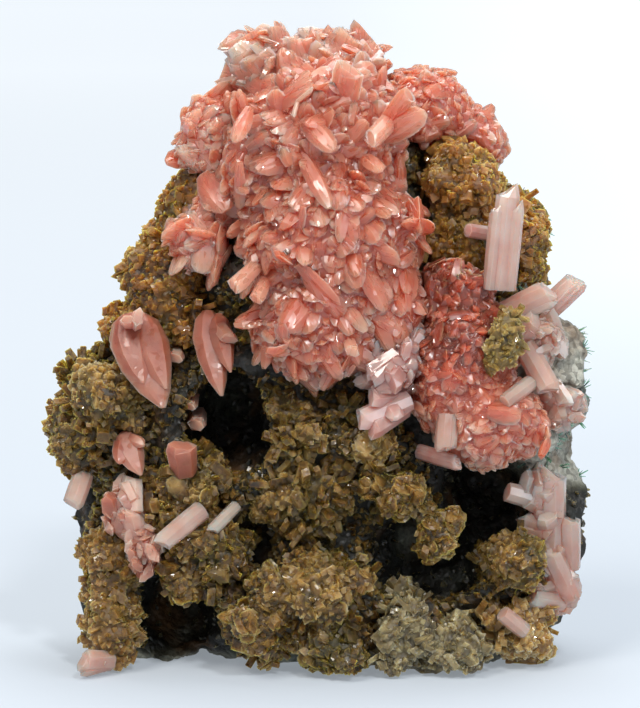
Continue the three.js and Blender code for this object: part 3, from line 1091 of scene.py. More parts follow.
# thin druse at the foot, pale as honey and painted paler as painted light
HONEY = SideriteFinish("honey_siderite_druse", "#54380E", "#8A6632", "#C2A26A", "#725826")
# free-standing yellow grains
GOLDEN = SideriteFinish("golden_siderite_grains", "#44340E", "#7C6430", "#B49E60", "#625620")
# druse with clay on it, which greys it
GREY = SideriteFinish("grey_siderite_druse", "#362C1A", "#786A48", "#B4A880", "#5E563A")
# nearly black grains in the pockets, shiny so that only their glints show
GLINT = SideriteFinish("dark_pocket_druse", "#15140D", "#2B281B", "#5C563F", "#3A3A2E", (0.08, 0.35))
# tiny silky needles of a green phosphate
NEEDLES = SideriteFinish("dark_green_needles", "#16241E", "#24443A", "#5F8276", "#2C4A3A", (0.15, 0.4))


# Sub-assemblies


@dataclass(frozen=True)
class Bed:
    """How sheaves of crystals stand on a surface. Each sheaf is a small fan of crystals from one root.

    A crystal's width is a share of its length, its thickness is a share of its width, and a share of it is
    buried. A sheaf has a few crystals, a spread at its foot and a fan angle in radians. It leans from the
    surface's normal by the tilt, away from the hub or, without outward pull, any way. The petals share says
    how far its broad faces turn to the outside. The jitter says how unruly its crystals are, and the tone is
    added to theirs.
    """

    habit: Habit
    spacing_mm: float
    length_mm: tuple[float, float]
    width_share: tuple[float, float]
    thickness_share: tuple[float, float]
    buried: float = 0.5
    sheaf: tuple[int, int] = (1, 1)
    spread_mm: float = 0.5
    fan: float = 0.3
    tilt: tuple[float, float] = (0.0, 0.8)
    outward: float = 0.0
    petals: float = 0.5
    jitter: float = 0.12
    tone: float = 0.0

    def crowd(self, places: np.ndarray, normals: np.ndarray, hub: np.ndarray,
              random: np.random.Generator) -> Crowd:
        """Stand a sheaf of crystals on every place.

        Args:
            places: where the sheaves leave the surface.
            normals: the surface's normals there.
            hub: the point that the crystals radiate from.
            random: where chance comes from.

        Returns:
            The crystals.
        """
        sheaves = len(places)
        stray = unit(random.normal(size=(sheaves, 3)))
        pull = across_of(unit(places - hub), normals) * self.outward
        tangents = unit(pull + across_of(stray, normals) * STRAY)
        tilts = between(self.tilt, random.random(sheaves))[:, None]
        main = normals * np.cos(tilts) + tangents * np.sin(tilts)
        turn = unit(random.normal(size=(sheaves, 3)))
        outside = unit(across_of(normals, main)) * self.petals
        facing = unit(across_of(outside + turn * (1 - self.petals), main))
        side = np.cross(main, facing)
        sheaf_tones = random.random(sheaves)
        counts = random.integers(self.sheaf[0], self.sheaf[1] + 1, sheaves)
        owner = np.repeat(np.arange(sheaves), counts)
        count = len(owner)
        slide = random.uniform(-1, 1, count) * (counts[owner] > 1)
        lift = random.uniform(-1, 1, count) * (counts[owner] > 1)
        turns = (slide * self.fan)[:, None]
        chance = random.normal(size=(count, 3)) * self.jitter
        axes = unit(main[owner] * np.cos(turns) + side[owner] * np.sin(turns) + chance)
        shift = side[owner] * slide[:, None] + facing[owner] * (SHEAF_DEPTH * lift)[:, None]
        facings = facing[owner] + random.normal(size=(count, 3)) * self.jitter
        lengths = between(self.length_mm, random.random(count) ** LENGTH_BIAS) * MM
        lengths = lengths * (1 - SHEAF_DROP * np.abs(slide))
        widths = lengths * between(self.width_share, random.random(count))
        thicknesses = widths * between(self.thickness_share, random.random(count))
        roots = places[owner] + shift * self.spread_mm * MM - axes * (lengths * self.buried)[:, None]
        tones = SHEAF_TONE * sheaf_tones[owner] + (1 - SHEAF_TONE) * random.random(count) + self.tone
        return Crowd(roots, axes, facings, lengths, widths, thicknesses, tones)


def across_of(ways: np.ndarray, lines: np.ndarray) -> np.ndarray:
    """The part of each way that lies across its line."""
    return ways - lines * np.sum(ways * lines, axis=1, keepdims=True)


@dataclass(frozen=True)
class PaintedLight:
    """A part of a piece painted paler as painted light or, with a shift below zero, deeper as painted shade.

    Its middle is a share of the node's box, and it fades out at the radius.
    """

    middle: tuple[float, float, float]
    radius_mm: float
    shift: float

    def over(self, node: str, places: np.ndarray) -> np.ndarray:
        """Work out how much the tone shifts at each place.

        Args:
            node: the name of the piece's node.
            places: places on the piece.

        Returns:
            The shift at each of them.
        """
        low, high = (np.array(corner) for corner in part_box(node))
        gaps = np.linalg.norm(places - low - np.array(self.middle) * (high - low), axis=1)
        return self.shift * np.clip(PAINTED_LIGHT_SLOPE - PAINTED_LIGHT_SLOPE * gaps / (self.radius_mm * MM), 0, 1)


@dataclass(frozen=True)
class Spike:
    """One large crystal, from root to tip as shares of its node's box, with its real width and thickness."""

    root: tuple[float, float, float]
    tip: tuple[float, float, float]
    width_mm: float
    thickness_mm: float
    habit: Habit = Habit.LEAF
    facing: tuple[float, float, float] = (0.1, -1.0, 0.1)
    tone: float = 0.5

    def crop(self, node: str, stocks: dict[Habit, Stock]) -> Crop:
        """Stand the crystal in its node's box.

        Args:
            node: the node's name.
            stocks: the modelled crystals.

        Returns:
            A crop of one crystal.
        """
        low, high = (np.array(corner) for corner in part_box(node))
        root, tip = (low + np.array(share) * (high - low) for share in (self.root, self.tip))
        sizes = np.array([[np.linalg.norm(tip - root)], [self.width_mm * MM], [self.thickness_mm * MM]])
        facing, tone = np.array(self.facing, float), np.array([self.tone])
        return Crop(Crowd(root[None], unit(tip - root)[None], facing[None], *sizes, tone), stocks[self.habit])


@dataclass
class Growth:
    """A piece that grew on the rock: a rough core fused with the beds of crystals that stand on it.

    The hub is the point that the crystals radiate from, as shares of the node's box. Crystals stand only
    where the way out is free for the clearance.
    """

    node: str
    slot: str
    finish: bpy.types.Material
    core: Core
    beds: tuple[Bed, ...]
    seed: int
    hub: tuple[float, float, float] = (0.5, 0.9, 0.5)
    spikes: tuple[Spike, ...] = ()
    painted_light: tuple[PaintedLight, ...] = ()
    core_tone: float = 0.3
    clearance_mm: float = 0.6
    crease: float = 0.35

    def build(self, frame: Frame, stocks: dict[Habit, Stock]) -> bpy.types.Object:
        """Grow the piece and hang it in place.

        Args:
            frame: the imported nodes.
            stocks: the modelled crystals.

        Returns:
            The finished piece.
        """
        random = np.random.default_rng(self.seed)
        skin = self.core.shaped(frame, self.node, random)
        crops = [spike.crop(self.node, stocks) for spike in self.spikes]
        crops += [self.stand(bed, skin, frame, stocks, random) for bed in self.beds]
        core = Facets.plain(skin.points, skin.triangles, self.core_tone)
        # painted light and shade: patches that make parts of the core paler or deeper
        for light_patch in self.painted_light:
            core.tone = core.tone + light_patch.over(self.node, skin.points)
        piece = core.laid(self.node + "_growth")
        fused(piece, layered(crops))
        return placed(finished(piece, self.finish, self.crease), self.slot, self.node)

    def stand(self, bed: Bed, skin: Skin, frame: Frame, stocks: dict[Habit, Stock],
              random: np.random.Generator) -> Crop:
        """Stand one bed of crystals on the core wherever it looks into the open.

        Args:
            bed: how the crystals stand.
            skin: the core's surface.
            frame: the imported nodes.
            stocks: the modelled crystals.
            random: where chance comes from.

        Returns:
            The crystals.
        """
        places, normals = skin.spots(bed.spacing_mm, random)
        free = frame.open_spots(self.node, places, normals, self.clearance_mm)
        low, high = (np.array(corner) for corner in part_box(self.node))
        crowd = bed.crowd(places[free], normals[free], low + np.array(self.hub) * (high - low), random)
        # painted light and shade on the crystals too
        for light_patch in self.painted_light:
            crowd.tones = crowd.tones + light_patch.over(self.node, crowd.roots)
        tips = crowd.roots + crowd.axes * crowd.lengths[:, None]
        above = np.minimum(tips[:, 2], crowd.roots[:, 2]) > crowd.widths / 2
        inside = np.all((tips > frame.low - SPARE_MM * MM) & (tips < frame.high + SPARE_MM * MM), axis=1)
        return Crop(crowd.kept(above & inside), stocks[bed.habit])


@dataclass
class Fan:
    """A few broad crystals that share a root."""

    node: str
    slot: str
    finish: bpy.types.Material
    spikes: tuple[Spike, ...]

    def build(self, frame: Frame, stocks: dict[Habit, Stock]) -> bpy.types.Object:
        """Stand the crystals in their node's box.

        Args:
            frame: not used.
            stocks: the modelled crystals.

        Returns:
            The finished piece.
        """
        first, *others = [spike.crop(self.node, stocks) for spike in self.spikes]
        piece = first.crowd.facets(first.stock).laid(self.node + "_crystals")
        if others:
            fused(piece, layered(others))
        return placed(finished(piece, self.finish, crease=0.6), self.slot, self.node)


@dataclass(frozen=True)
class Build:
    """A long node's own foot, its thin, wide and long directions, and its size along each of them."""

    foot: np.ndarray
    thin: np.ndarray
    wide: np.ndarray
    axis: np.ndarray
    depth: float
    width: float
    length: float

    @classmethod
    def of(cls, skin: Skin, heart: np.ndarray) -> "Build":
        """Measure a node.

        Args:
            skin: the node's surface.
            heart: the point that its foot looks towards.

        Returns:
            Its build.
        """
        corners = skin.points[skin.triangles]
        areas = np.linalg.norm(np.cross(corners[:, 1] - corners[:, 0], corners[:, 2] - corners[:, 0]), axis=1)
        middles = corners.mean(axis=1)
        middle = np.average(middles, axis=0, weights=areas)
        thin, wide, axis = np.linalg.eigh(np.cov((middles - middle).T, aweights=areas))[1].T
        if np.dot(middle - heart, axis) < 0:
            axis = -axis
        spans = [(skin.points - middle) @ way for way in (thin, wide, axis)]
        lows, highs = (np.array([find_end(span) for span in spans]) for find_end in (np.min, np.max))
        foot = middle + np.stack([thin, wide]).T @ (lows + highs)[:2] / 2 + axis * lows[2]
        return cls(foot, thin, wide, axis, *(highs - lows))


@dataclass
class Prism:
    """A bundle of parallel prisms that fills its node's own length, width and thickness.

    The first prism is as long as the node. The others are thinner and shorter, and stand round it. A prism's
    share of the node's section is the least share, plus what is left of the split share for each of them.
    """

    node: str
    slot: str
    finish: bpy.types.Material
    seed: int
    strands: int
    habit: Habit = Habit.PRISM
    least_share: float = 0.3
    split_share: float = 0.6
    first_wider: float = 0.25
    first_thicker: float = 0.3
    width_spread: float = 0.1
    thickness_spread: float = 0.2
    lengths: tuple[float, float] = (0.72, 0.98)
    tones: tuple[float, float] = (0.45, 0.95)
    stray: float = 0.015

    def build(self, frame: Frame, stocks: dict[Habit, Stock]) -> bpy.types.Object:
        """Fit the bundle to its node.

        Args:
            frame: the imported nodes.
            stocks: the modelled crystals.

        Returns:
            The finished piece.
        """
        heart = frame.skins["host_rock"].points.mean(axis=0)
        crowd = self.bundle(Build.of(frame.skins[self.node], heart), np.random.default_rng(self.seed))
        crops = [Crop(crowd.kept(np.array([i])), stocks[self.habit]) for i in range(self.strands)]
        piece = crops[0].crowd.facets(crops[0].stock).laid(self.node + "_crystal")
        if crops[1:]:
            fused(piece, layered(crops[1:]))
        return placed(finished(piece, self.finish, crease=0.2), self.slot, self.node)

    def bundle(self, form: Build, random: np.random.Generator) -> Crowd:
        """Stand the prisms side by side.

        Args:
            form: the node's build.
            random: where chance comes from.

        Returns:
            The prisms.
        """
        others = self.strands - 1
        share = self.least_share + self.split_share / self.strands
        wide = random.uniform(share - self.width_spread, share + self.width_spread, others)
        thick = random.uniform(share, share + self.thickness_spread, others)
        widths = form.width * np.append(min(share + self.first_wider, 1), wide)
        thicknesses = form.depth * np.append(min(share + self.first_thicker, 1), thick)
        angles = np.linspace(0, 2 * math.pi, self.strands, endpoint=False)[:others]
        right = np.append(0, np.cos(angles) * (form.width - widths[1:]) / 2)
        front = np.append(0, np.sin(angles) * (form.depth - thicknesses[1:]) / 2)
        lengths = form.length * np.append(1.0, random.uniform(*self.lengths, others))
        strays = random.normal(size=(self.strands, 3)) * self.stray
        tones = random.uniform(*self.tones, self.strands)
        roots = form.foot + right[:, None] * form.wide + front[:, None] * form.thin
        return Crowd(roots, unit(form.axis + strays), form.thin + strays, lengths, widths, thicknesses, tones)


@dataclass(frozen=True)
class Fade:
    """Weathering along one direction: where it starts, how far chance shifts that, and over what distance."""

    start_mm: float
    drift_mm: float
    change_mm: float

    def at(self, places_mm: np.ndarray, drift: np.ndarray) -> np.ndarray:
        """The weathering at each place, zero at the start and one where the change is complete."""
        return (places_mm - self.start_mm + self.drift_mm * drift) / self.change_mm


def drift_at(places: np.ndarray, grain_mm: float) -> np.ndarray:
    """Smooth noise at each place, from about -1 to 1."""
    return np.array([noise.noise(Vector(place / (grain_mm * MM))) for place in places])


@dataclass
class HostRock:
    """The wedge of altered rock, with dark druse in its pockets and dark green needles on its right rim.

    Siderite grains stand on it round the crusts too, so that the crusts run together.
    """

    node: str = "host_rock"
    slot: str = "altered_rock"
    seed: int = 41
    core: Core = Core(
        swell_mm=0.12, voxel_mm=0.35, smoothing=2,
        grits=(
            Grit("VORONOI", 3.4, 1.1), Grit("CLOUDS", 1.8, 0.9), Grit("VORONOI", 1.1, 0.5),
            Grit("CLOUDS", 0.5, 0.3),
        ),
    )
    druse: Bed = Bed(
        Habit.SCALE, spacing_mm=1.0, length_mm=(0.4, 0.9), width_share=(0.5, 0.9),
        thickness_share=(0.35, 0.7), sheaf=(1, 4), spread_mm=0.4, fan=0.6,
    )
    needles: Bed = Bed(
        Habit.NEEDLE, spacing_mm=0.8, length_mm=(0.6, 1.3), width_share=(0.14, 0.2),
        thickness_share=(0.8, 1.0), buried=0.35, sheaf=(3, 6), spread_mm=0.2, fan=0.6,
    )
    skirt: Bed = Bed(
        Habit.RHOMB, spacing_mm=0.5, length_mm=(0.7, 1.6), width_share=(0.5, 0.8),
        thickness_share=(0.6, 1.0), buried=0.7, sheaf=(1, 3), spread_mm=0.3, fan=0.5, tilt=(0.0, 0.7),
        petals=0.3, jitter=0.3, tone=-0.8,
    )
    other_crusts: tuple[str, ...] = ("diagonal_ridge", "pocket_ball")
    skirt_mm: float = 2.0
    skirt_drift_mm: float = 1.6
    skirt_grain_mm: float = 2.0
    skirt_free_mm: float = 0.9
    behind: Fade = Fade(2.0, 2.2, 4.0)
    rim: Fade = Fade(13.2, 1.4, 2.0)
    rim_height: Fade = Fade(13.0, 0.0, 4.0)
    foot_top_mm: float = 1.8
    foot_drift_mm: float = 2.0
    foot_share: float = 0.8
    drift_grain_mm: float = 3.5
    freshest: float = 0.1
    contrast: float = 0.78
    mottle: float = 0.08
    pocket_below: float = 0.35
    rim_above: float = 0.55
    patch_grain_mm: float = 2.6
    patch_above: float = 0.02
    foot_free_mm: float = 0.6
    steepest_down: float = -0.8

    def weathering(self, places: np.ndarray) -> np.ndarray:
        """Work out how weathered the rock is.

        Args:
            places: places on the rock.

        Returns:
            A share for each, near 0 in the dark front and near 1 on the outside.
        """
        right, back, height = (places / MM).T
        drift = drift_at(places, self.drift_grain_mm)
        rim = self.rim.at(right, drift) * np.clip(self.rim_height.at(height, drift), 0, 1)
        foot = np.clip(self.foot_top_mm - height + self.foot_drift_mm * drift, 0, 1) * self.foot_share
        highest = np.max([self.behind.at(back, drift), rim, foot], axis=0)
        return np.clip(highest, 0, 1) * self.contrast + self.freshest + self.mottle * drift

    def in_sight(self, places: np.ndarray, normals: np.ndarray) -> np.ndarray:
        """Tell which places are off the floor and don't look down at it."""
        return (normals[:, 2] > self.steepest_down) & (places[:, 2] > self.foot_free_mm * MM)

    def in_pockets(self, frame: Frame, places: np.ndarray, normals: np.ndarray) -> np.ndarray:
        """Tell which places are fresh enough to lie in a pocket."""
        return self.in_sight(places, normals) & (self.weathering(places) < self.pocket_below)

    def on_rim(self, frame: Frame, places: np.ndarray, normals: np.ndarray) -> np.ndarray:
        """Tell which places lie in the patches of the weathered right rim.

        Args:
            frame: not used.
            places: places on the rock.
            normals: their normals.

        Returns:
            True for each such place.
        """
        rim = (places[:, 0] > self.rim.start_mm * MM) & (self.weathering(places) > self.rim_above)
        patches = drift_at(places, self.patch_grain_mm) > self.patch_above
        return self.in_sight(places, normals) & rim & patches

    def beside_crusts(self, frame: Frame, places: np.ndarray, normals: np.ndarray) -> np.ndarray:
        """Tell which places are so close to a crust that its druse runs on over them.

        Args:
            frame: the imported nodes.
            places: places on the rock.
            normals: their normals.

        Returns:
            True for each such place.
        """
        crusts = [name for name in frame.nodes if name.endswith("crust") or name in self.other_crusts]
        near = frame.tree(crusts)
        widest = self.skirt_mm + self.skirt_drift_mm * drift_at(places, self.skirt_grain_mm)
        gaps = np.array([near.find_nearest(Vector(place))[3] for place in places])
        return (gaps < widest * MM) & (places[:, 2] > self.skirt_free_mm * MM)

    def build(self, frame: Frame, stocks: dict[Habit, Stock]) -> list[bpy.types.Object]:
        """Make the rock, and what grows on it.

        Args:
            frame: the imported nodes.
            stocks: the modelled crystals.

        Returns:
            The four finished pieces.
        """
        random = np.random.default_rng(self.seed)
        skin = self.core.shaped(frame, self.node, random)
        rock = Facets.plain(skin.points, skin.triangles)
        rock.tone = self.weathering(skin.points)
        piece = finished(rock.laid("broken_rock"), RockFinish().made(), crease=0.9)
        pieces = [placed(piece, self.slot, self.node)]
        for name, bed, finish, chosen, clearance_mm in (
            ("pocket_druse", self.druse, GLINT, self.in_pockets, 0.4),
            ("rim_needles", self.needles, NEEDLES, self.on_rim, 0.4),
            ("druse_between_crusts", self.skirt, OLIVE, self.beside_crusts, 0.3),
        ):
            places, normals = skin.spots(bed.spacing_mm, random)
            wanted = chosen(frame, places, normals)
            places, normals = places[wanted], normals[wanted]
            free = frame.open_spots(self.node, places, normals, clearance_mm)
            crowd = bed.crowd(places[free], normals[free], np.zeros(3), random)
            piece = finished(crowd.facets(stocks[bed.habit]).laid(name), finish.made(), crease=0.4)
            pieces.append(placed(piece, self.slot, self.node))
        return pieces


# The studio


@dataclass
class Softbox:
    """A square lamp that faces the specimen's middle."""

    name: str
    place: tuple[float, float, float]
    side: float
    power: float
    colour: str = "#FFFFFF"

    def build(self, target: Vector) -> None:
        """Hang the lamp and turn it to the target.

        Args:
            target: the place that it lights.
        """
        lamp = bpy.data.lights.new(self.name, "AREA")
        lamp.size = self.side
        lamp.energy = self.power
        lamp.color = linear(self.colour)[:3]
        holder = bpy.data.objects.new(self.name, lamp)
        holder.location = self.place
        holder.rotation_euler = (target - Vector(self.place)).to_track_quat("-Z", "Y").to_euler()
        bpy.context.scene.collection.objects.link(holder)


@dataclass
class Studio:
    """A pale floor that glows with painted light, soft lamps, a bright sky and the camera."""

    floor_radius: float = 3.0
    camera_distance: float = 0.35
    camera_tilt: float = math.radians(8)
    view_height: float = 0.0553
    aim_mm: tuple[float, float, float] = (0.15, -0.75, 23.8)
    card_near: str = "#A0A7AE"
    card_far: str = "#C2C7CB"
    sky_colour: str = "#F4F8FF"
    sky: float = 0.48
    boxes: tuple[Softbox, ...] = (
        Softbox("key_lamp", (-0.2, -0.3, 0.46), 0.2, 1.8, "#FFFAF2"),
        Softbox("glint_lamp", (0.1, -0.34, 0.34), 0.05, 1.0, "#FFFFFF"),
        Softbox("fill_lamp", (0.36, -0.3, 0.2), 0.24, 0.7, "#F2F6FF"),
        Softbox("top_lamp", (0.05, 0.12, 0.5), 0.3, 1.6, "#FFFFFF"),
    )

    def build(self, low: Vector, high: Vector) -> None:
        """Set the stage round the specimen's box.

        Args:
            low: the box's lowest corner.
            high: its highest corner.
        """
        middle = (low + high) / 2
        self.lay_floor()
        self.light_sky()
        for box in self.boxes:
            box.build(middle)
        self.place_camera()

    def lay_floor(self) -> None:
        """Lay a wide round sheet of matt card, painted paler into the distance, that glows with painted light.
        """
        clear_selection()
        bpy.ops.mesh.primitive_circle_add(vertices=96, radius=self.floor_radius, fill_type="NGON")
        floor = bpy.context.object
        floor.name = "studio_floor"
        bpy.ops.object.mode_set(mode="EDIT")
        bpy.ops.mesh.select_all(action="SELECT")
        bpy.ops.mesh.inset(thickness=self.floor_radius * 0.6)
        bpy.ops.object.mode_set(mode="OBJECT")
        material, tree, shader = new_material("matt_card")
        place = add_node(tree, "TexCoord").outputs["Object"]
        right, back = add_node(tree, "SeparateXYZ", {0: place}).outputs[:2]
        # painted light: the card's colour pales towards the back
        near = add_node(tree, "MapRange", {0: back, 1: 0.05, 2: 0.6, 3: 0.0, 4: 1.0})
        pale = add_node(
            tree, "Mix", {0: near.outputs[0], 6: linear(self.card_near), 7: linear(self.card_far)},
            data_type="RGBA",
        )

        # painted light: the card glows, more towards the back and a little more on its right, which also
        # lightens the specimen's shadow on it
        depth = add_node(tree, "Math", {0: back, 1: self.camera_distance}, operation="ADD")
        lean = add_node(tree, "Math", {0: right, 1: depth.outputs[0]}, operation="DIVIDE")
        beside = add_node(tree, "MapRange", {0: lean.outputs[0], 1: 0.0, 2: 0.08, 3: 0.0, 4: 0.4})
        behind = add_node(tree, "MapRange", {0: back, 1: 0.1, 2: 0.25, 3: 0.0, 4: 1.0})
        glow = add_node(tree, "MapRange", {0: back, 1: 0.05, 2: 0.8, 3: 0.64, 4: 1.08})
        far = add_node(
            tree, "Math", {0: beside.outputs[0], 1: behind.outputs[0], 2: glow.outputs[0]},
            operation="MULTIPLY_ADD",
        )
        tree.links.new(pale.outputs[2], shader.inputs["Base Color"])
        tree.links.new(pale.outputs[2], shader.inputs["Emission Color"])
        tree.links.new(far.outputs[0], shader.inputs["Emission Strength"])
        shader.inputs["Roughness"].default_value = 0.9
        shader.inputs["Specular IOR Level"].default_value = 0.1
        floor.data.materials.append(material)
        floor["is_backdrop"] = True

    def light_sky(self) -> None:
        """Fill the room with even white light."""
        world = bpy.data.worlds.new("white_room")
        world.use_nodes = True
        sky = world.node_tree.nodes["Background"]
        sky.inputs["Color"].default_value = linear(self.sky_colour)
        sky.inputs["Strength"].default_value = self.sky
        bpy.context.scene.world = world
        bpy.context.scene.view_settings.view_transform = "Standard"

    def place_camera(self) -> None:
        """Look at the specimen from the front and a little above."""
        back = Vector((0, -math.cos(self.camera_tilt), math.sin(self.camera_tilt)))
        target = Vector([value * MM for value in self.aim_mm])
        camera = bpy.data.cameras.new("camera")
        camera.sensor_width = 36
        camera.lens = camera.sensor_width * self.camera_distance / self.view_height
        camera.clip_start = 0.01
        camera.clip_end = 20
        holder = bpy.data.objects.new("camera", camera)
        holder.location = target + back * self.camera_distance
        holder.rotation_euler = (-back).to_track_quat("-Z", "Y").to_euler()
        bpy.context.scene.collection.objects.link(holder)
        bpy.context.scene.camera = holder


# What grows where

# the siderite crusts
DRUSE_CORE = Core(
    swell_mm=-0.2, voxel_mm=0.2, smoothing=4, nodules=Nodules(2.8, (1.0, 2.1), -0.65),
    grits=(Grit("CLOUDS", 3.2, 2.4), Grit("CLOUDS", 1.5, 1.4)),
)
THIN_DRUSE_CORE = Core(
    swell_mm=-0.4, voxel_mm=0.2, smoothing=4, nodules=Nodules(2.4, (0.8, 1.5), -0.7),
    grits=(Grit("CLOUDS", 3.2, 1.4), Grit("CLOUDS", 1.5, 1.2)),
)
LUMPS = Bed(
    Habit.RHOMB, spacing_mm=1.7, length_mm=(1.3, 2.0), width_share=(0.6, 0.9), thickness_share=(0.7, 1.0),
    buried=0.88, sheaf=(1, 3), spread_mm=0.6, fan=0.5, tilt=(0.1, 0.6), petals=0.4, jitter=0.2,
)
GRAINS = Bed(
    Habit.RHOMB, spacing_mm=0.48, length_mm=(0.8, 1.5), width_share=(0.45, 0.7),
    thickness_share=(0.6, 1.0), buried=0.88, sheaf=(1, 2), spread_mm=0.2, fan=0.4, tilt=(0.0, 0.4),
    petals=0.3, jitter=0.2,
)
SCALES = Bed(
    Habit.SCALE, spacing_mm=0.9, length_mm=(1.0, 1.7), width_share=(0.7, 1.0), thickness_share=(0.24, 0.4),
    buried=0.64, sheaf=(2, 4), spread_mm=0.3, fan=0.4, tilt=(0.9, 1.3), outward=1.0, petals=0.9,
)
ROSETTE = Bed(
    Habit.SCALE, spacing_mm=1.7, length_mm=(1.2, 2.2), width_share=(0.5, 0.85),
    thickness_share=(0.26, 0.4), buried=0.72, sheaf=(3, 6), spread_mm=0.3, fan=0.8, tilt=(0.1, 0.8),
    petals=0.3,
)
STARS = Bed(
    Habit.SPLINTER, spacing_mm=1.2, length_mm=(1.1, 1.9), width_share=(0.5, 0.8),
    thickness_share=(0.4, 0.6), buried=0.6, sheaf=(2, 4), spread_mm=0.3, fan=0.5, tilt=(0.0, 0.6),
    petals=0.3,
)

# the sprays of bladed crystals
SPRAY_CORE = Core(
    swell_mm=0.3, voxel_mm=0.34, smoothing=12, closing_mm=1.6,
    grits=(Grit("CLOUDS", 2.4, 1.0), Grit("CLOUDS", 1.0, 0.6)),
)
GREAT = Bed(
    Habit.LEAF, spacing_mm=2.4, length_mm=(3.4, 5.4), width_share=(0.36, 0.5), thickness_share=(0.42, 0.6),
    buried=0.6, sheaf=(1, 3), spread_mm=0.8, tilt=(0.7, 1.3), outward=0.7, petals=0.9,
)
BLADES = Bed(
    Habit.RIDGE, spacing_mm=1.5, length_mm=(2.2, 3.4), width_share=(0.56, 0.74),
    thickness_share=(0.42, 0.6), buried=0.68, sheaf=(1, 3), spread_mm=0.6, tilt=(0.6, 1.3), outward=0.7,
    petals=0.95,
)
FINE_BLADES = Bed(
    Habit.RIDGE, spacing_mm=0.66, length_mm=(1.2, 2.2), width_share=(0.5, 0.7),
    thickness_share=(0.45, 0.65), buried=0.76, sheaf=(1, 3), spread_mm=0.3, fan=0.4, tilt=(0.5, 1.3),
    outward=0.5, petals=0.85, jitter=0.2, tone=-0.1,
)
# painted glints: milky-white needles that stand in for glints on the sprays
PAINTED_GLINTS = Bed(
    Habit.NEEDLE, spacing_mm=1.4, length_mm=(0.4, 1.0), width_share=(0.1, 0.18),
    thickness_share=(0.5, 0.8), buried=0.2, sheaf=(1, 3), spread_mm=0.3, tilt=(1.0, 1.5), outward=0.3,
    petals=0.8, jitter=0.2, tone=1.2,
)
LOW_BLADES = Bed(
    Habit.RIDGE, spacing_mm=1.3, length_mm=(1.8, 2.8), width_share=(0.6, 0.8), thickness_share=(0.4, 0.55),
    buried=0.8, sheaf=(1, 3), tilt=(0.7, 1.15), outward=0.6, petals=0.95,
)
PETALS = Bed(
    Habit.LEAF, spacing_mm=1.6, length_mm=(3.2, 4.8), width_share=(0.6, 0.8), thickness_share=(0.3, 0.42),
    buried=0.55, sheaf=(1, 3), spread_mm=0.6, fan=0.4, tilt=(0.6, 1.25), outward=1.0, petals=0.95,
)
TABLETS = Bed(
    Habit.TABLET, spacing_mm=1.3, length_mm=(1.8, 3.2), width_share=(0.5, 0.75),
    thickness_share=(0.5, 0.7), buried=0.7, sheaf=(2, 4), tilt=(0.6, 1.2), outward=0.7, petals=0.8,
)
SLABS = Bed(
    Habit.TABLET, spacing_mm=1.4, length_mm=(1.8, 3.0), width_share=(0.5, 0.8), thickness_share=(0.4, 0.6),
    buried=0.78, sheaf=(1, 3), tilt=(0.8, 1.4), outward=0.5, petals=0.9,
)
PLATES = Bed(
    Habit.TABLET, spacing_mm=0.9, length_mm=(1.8, 3.0), width_share=(0.8, 1.2),
    thickness_share=(0.16, 0.26), buried=0.62, sheaf=(2, 4), spread_mm=0.3, fan=0.2, tilt=(0.6, 1.3),
    outward=1.0, petals=0.9, jitter=0.06,
)

# large single crystals of the crown, the column on the rim and the block below it; a few pale ones on the
# crown are painted glints
CROWN_SPIKES = (
    Spike((0.59, 0.48, 0.81), (0.62, 0.2, 0.96), 2.4, 1.3, Habit.TABLET, (0.0, -1.0, 0.2), 1.0),
    Spike((0.87, 0.44, 0.82), (0.73, 0.1, 0.75), 1.5, 1.1, Habit.PRISM, (0.2, -1.0, 0.3), 1.0),
    Spike((0.77, 0.39, 0.74), (0.99, 0.2, 0.83), 2.2, 1.3, Habit.LEAF, (0.2, -1.0, 0.3), 0.9),
    Spike((0.79, 0.4, 0.77), (0.91, 0.18, 0.885), 1.5, 1.1, Habit.PRISM, (0.2, -1.0, 0.2), 0.9),
    # painted glint: two tiny milky-white flakes stand in for a zig-zag glint
    Spike((0.37, 0.22, 0.86), (0.44, 0.12, 0.9), 0.4, 0.3, Habit.PRISM, (0.2, -1.0, 0.6), 1.0),
    Spike((0.37, 0.22, 0.86), (0.35, 0.12, 0.82), 0.4, 0.3, Habit.PRISM, (-0.2, -1.0, 0.6), 1.0),
    Spike((0.4, 0.3, 0.8), (0.55, 0.1, 0.72), 1.8, 1.0, Habit.LEAF, (0.0, -1.0, 0.4), 0.7),
    Spike((0.38, 0.32, 0.71), (0.53, 0.06, 0.55), 1.5, 1.0, Habit.LEAF, (0.1, -1.0, 0.3), 0.8),
    Spike((0.69, 0.32, 0.69), (0.78, 0.08, 0.66), 1.5, 1.0, Habit.LEAF, (0.2, -1.0, 0.5), 0.8),
    Spike((0.13, 0.4, 0.83), (0.07, 0.18, 0.74), 1.5, 1.0, Habit.LEAF, (-0.3, -1.0, 0.2), 0.8),
    # painted highlight: two pale tablets stand in for a glint on the crown's lower left
    Spike((0.16, 0.28, 0.36), (0.06, 0.08, 0.31), 1.6, 1.2, Habit.TABLET, (-0.3, -1.0, 0.3), 1.0),
    Spike((0.21, 0.26, 0.32), (0.17, 0.05, 0.275), 1.3, 1.0, Habit.TABLET, (-0.2, -1.0, 0.3), 0.9),
    Spike((0.62, 0.17, 0.15), (0.64, 0.0, 0.12), 1.2, 1.0, Habit.TABLET, (0.3, -1.0, 0.4), 1.0),
)
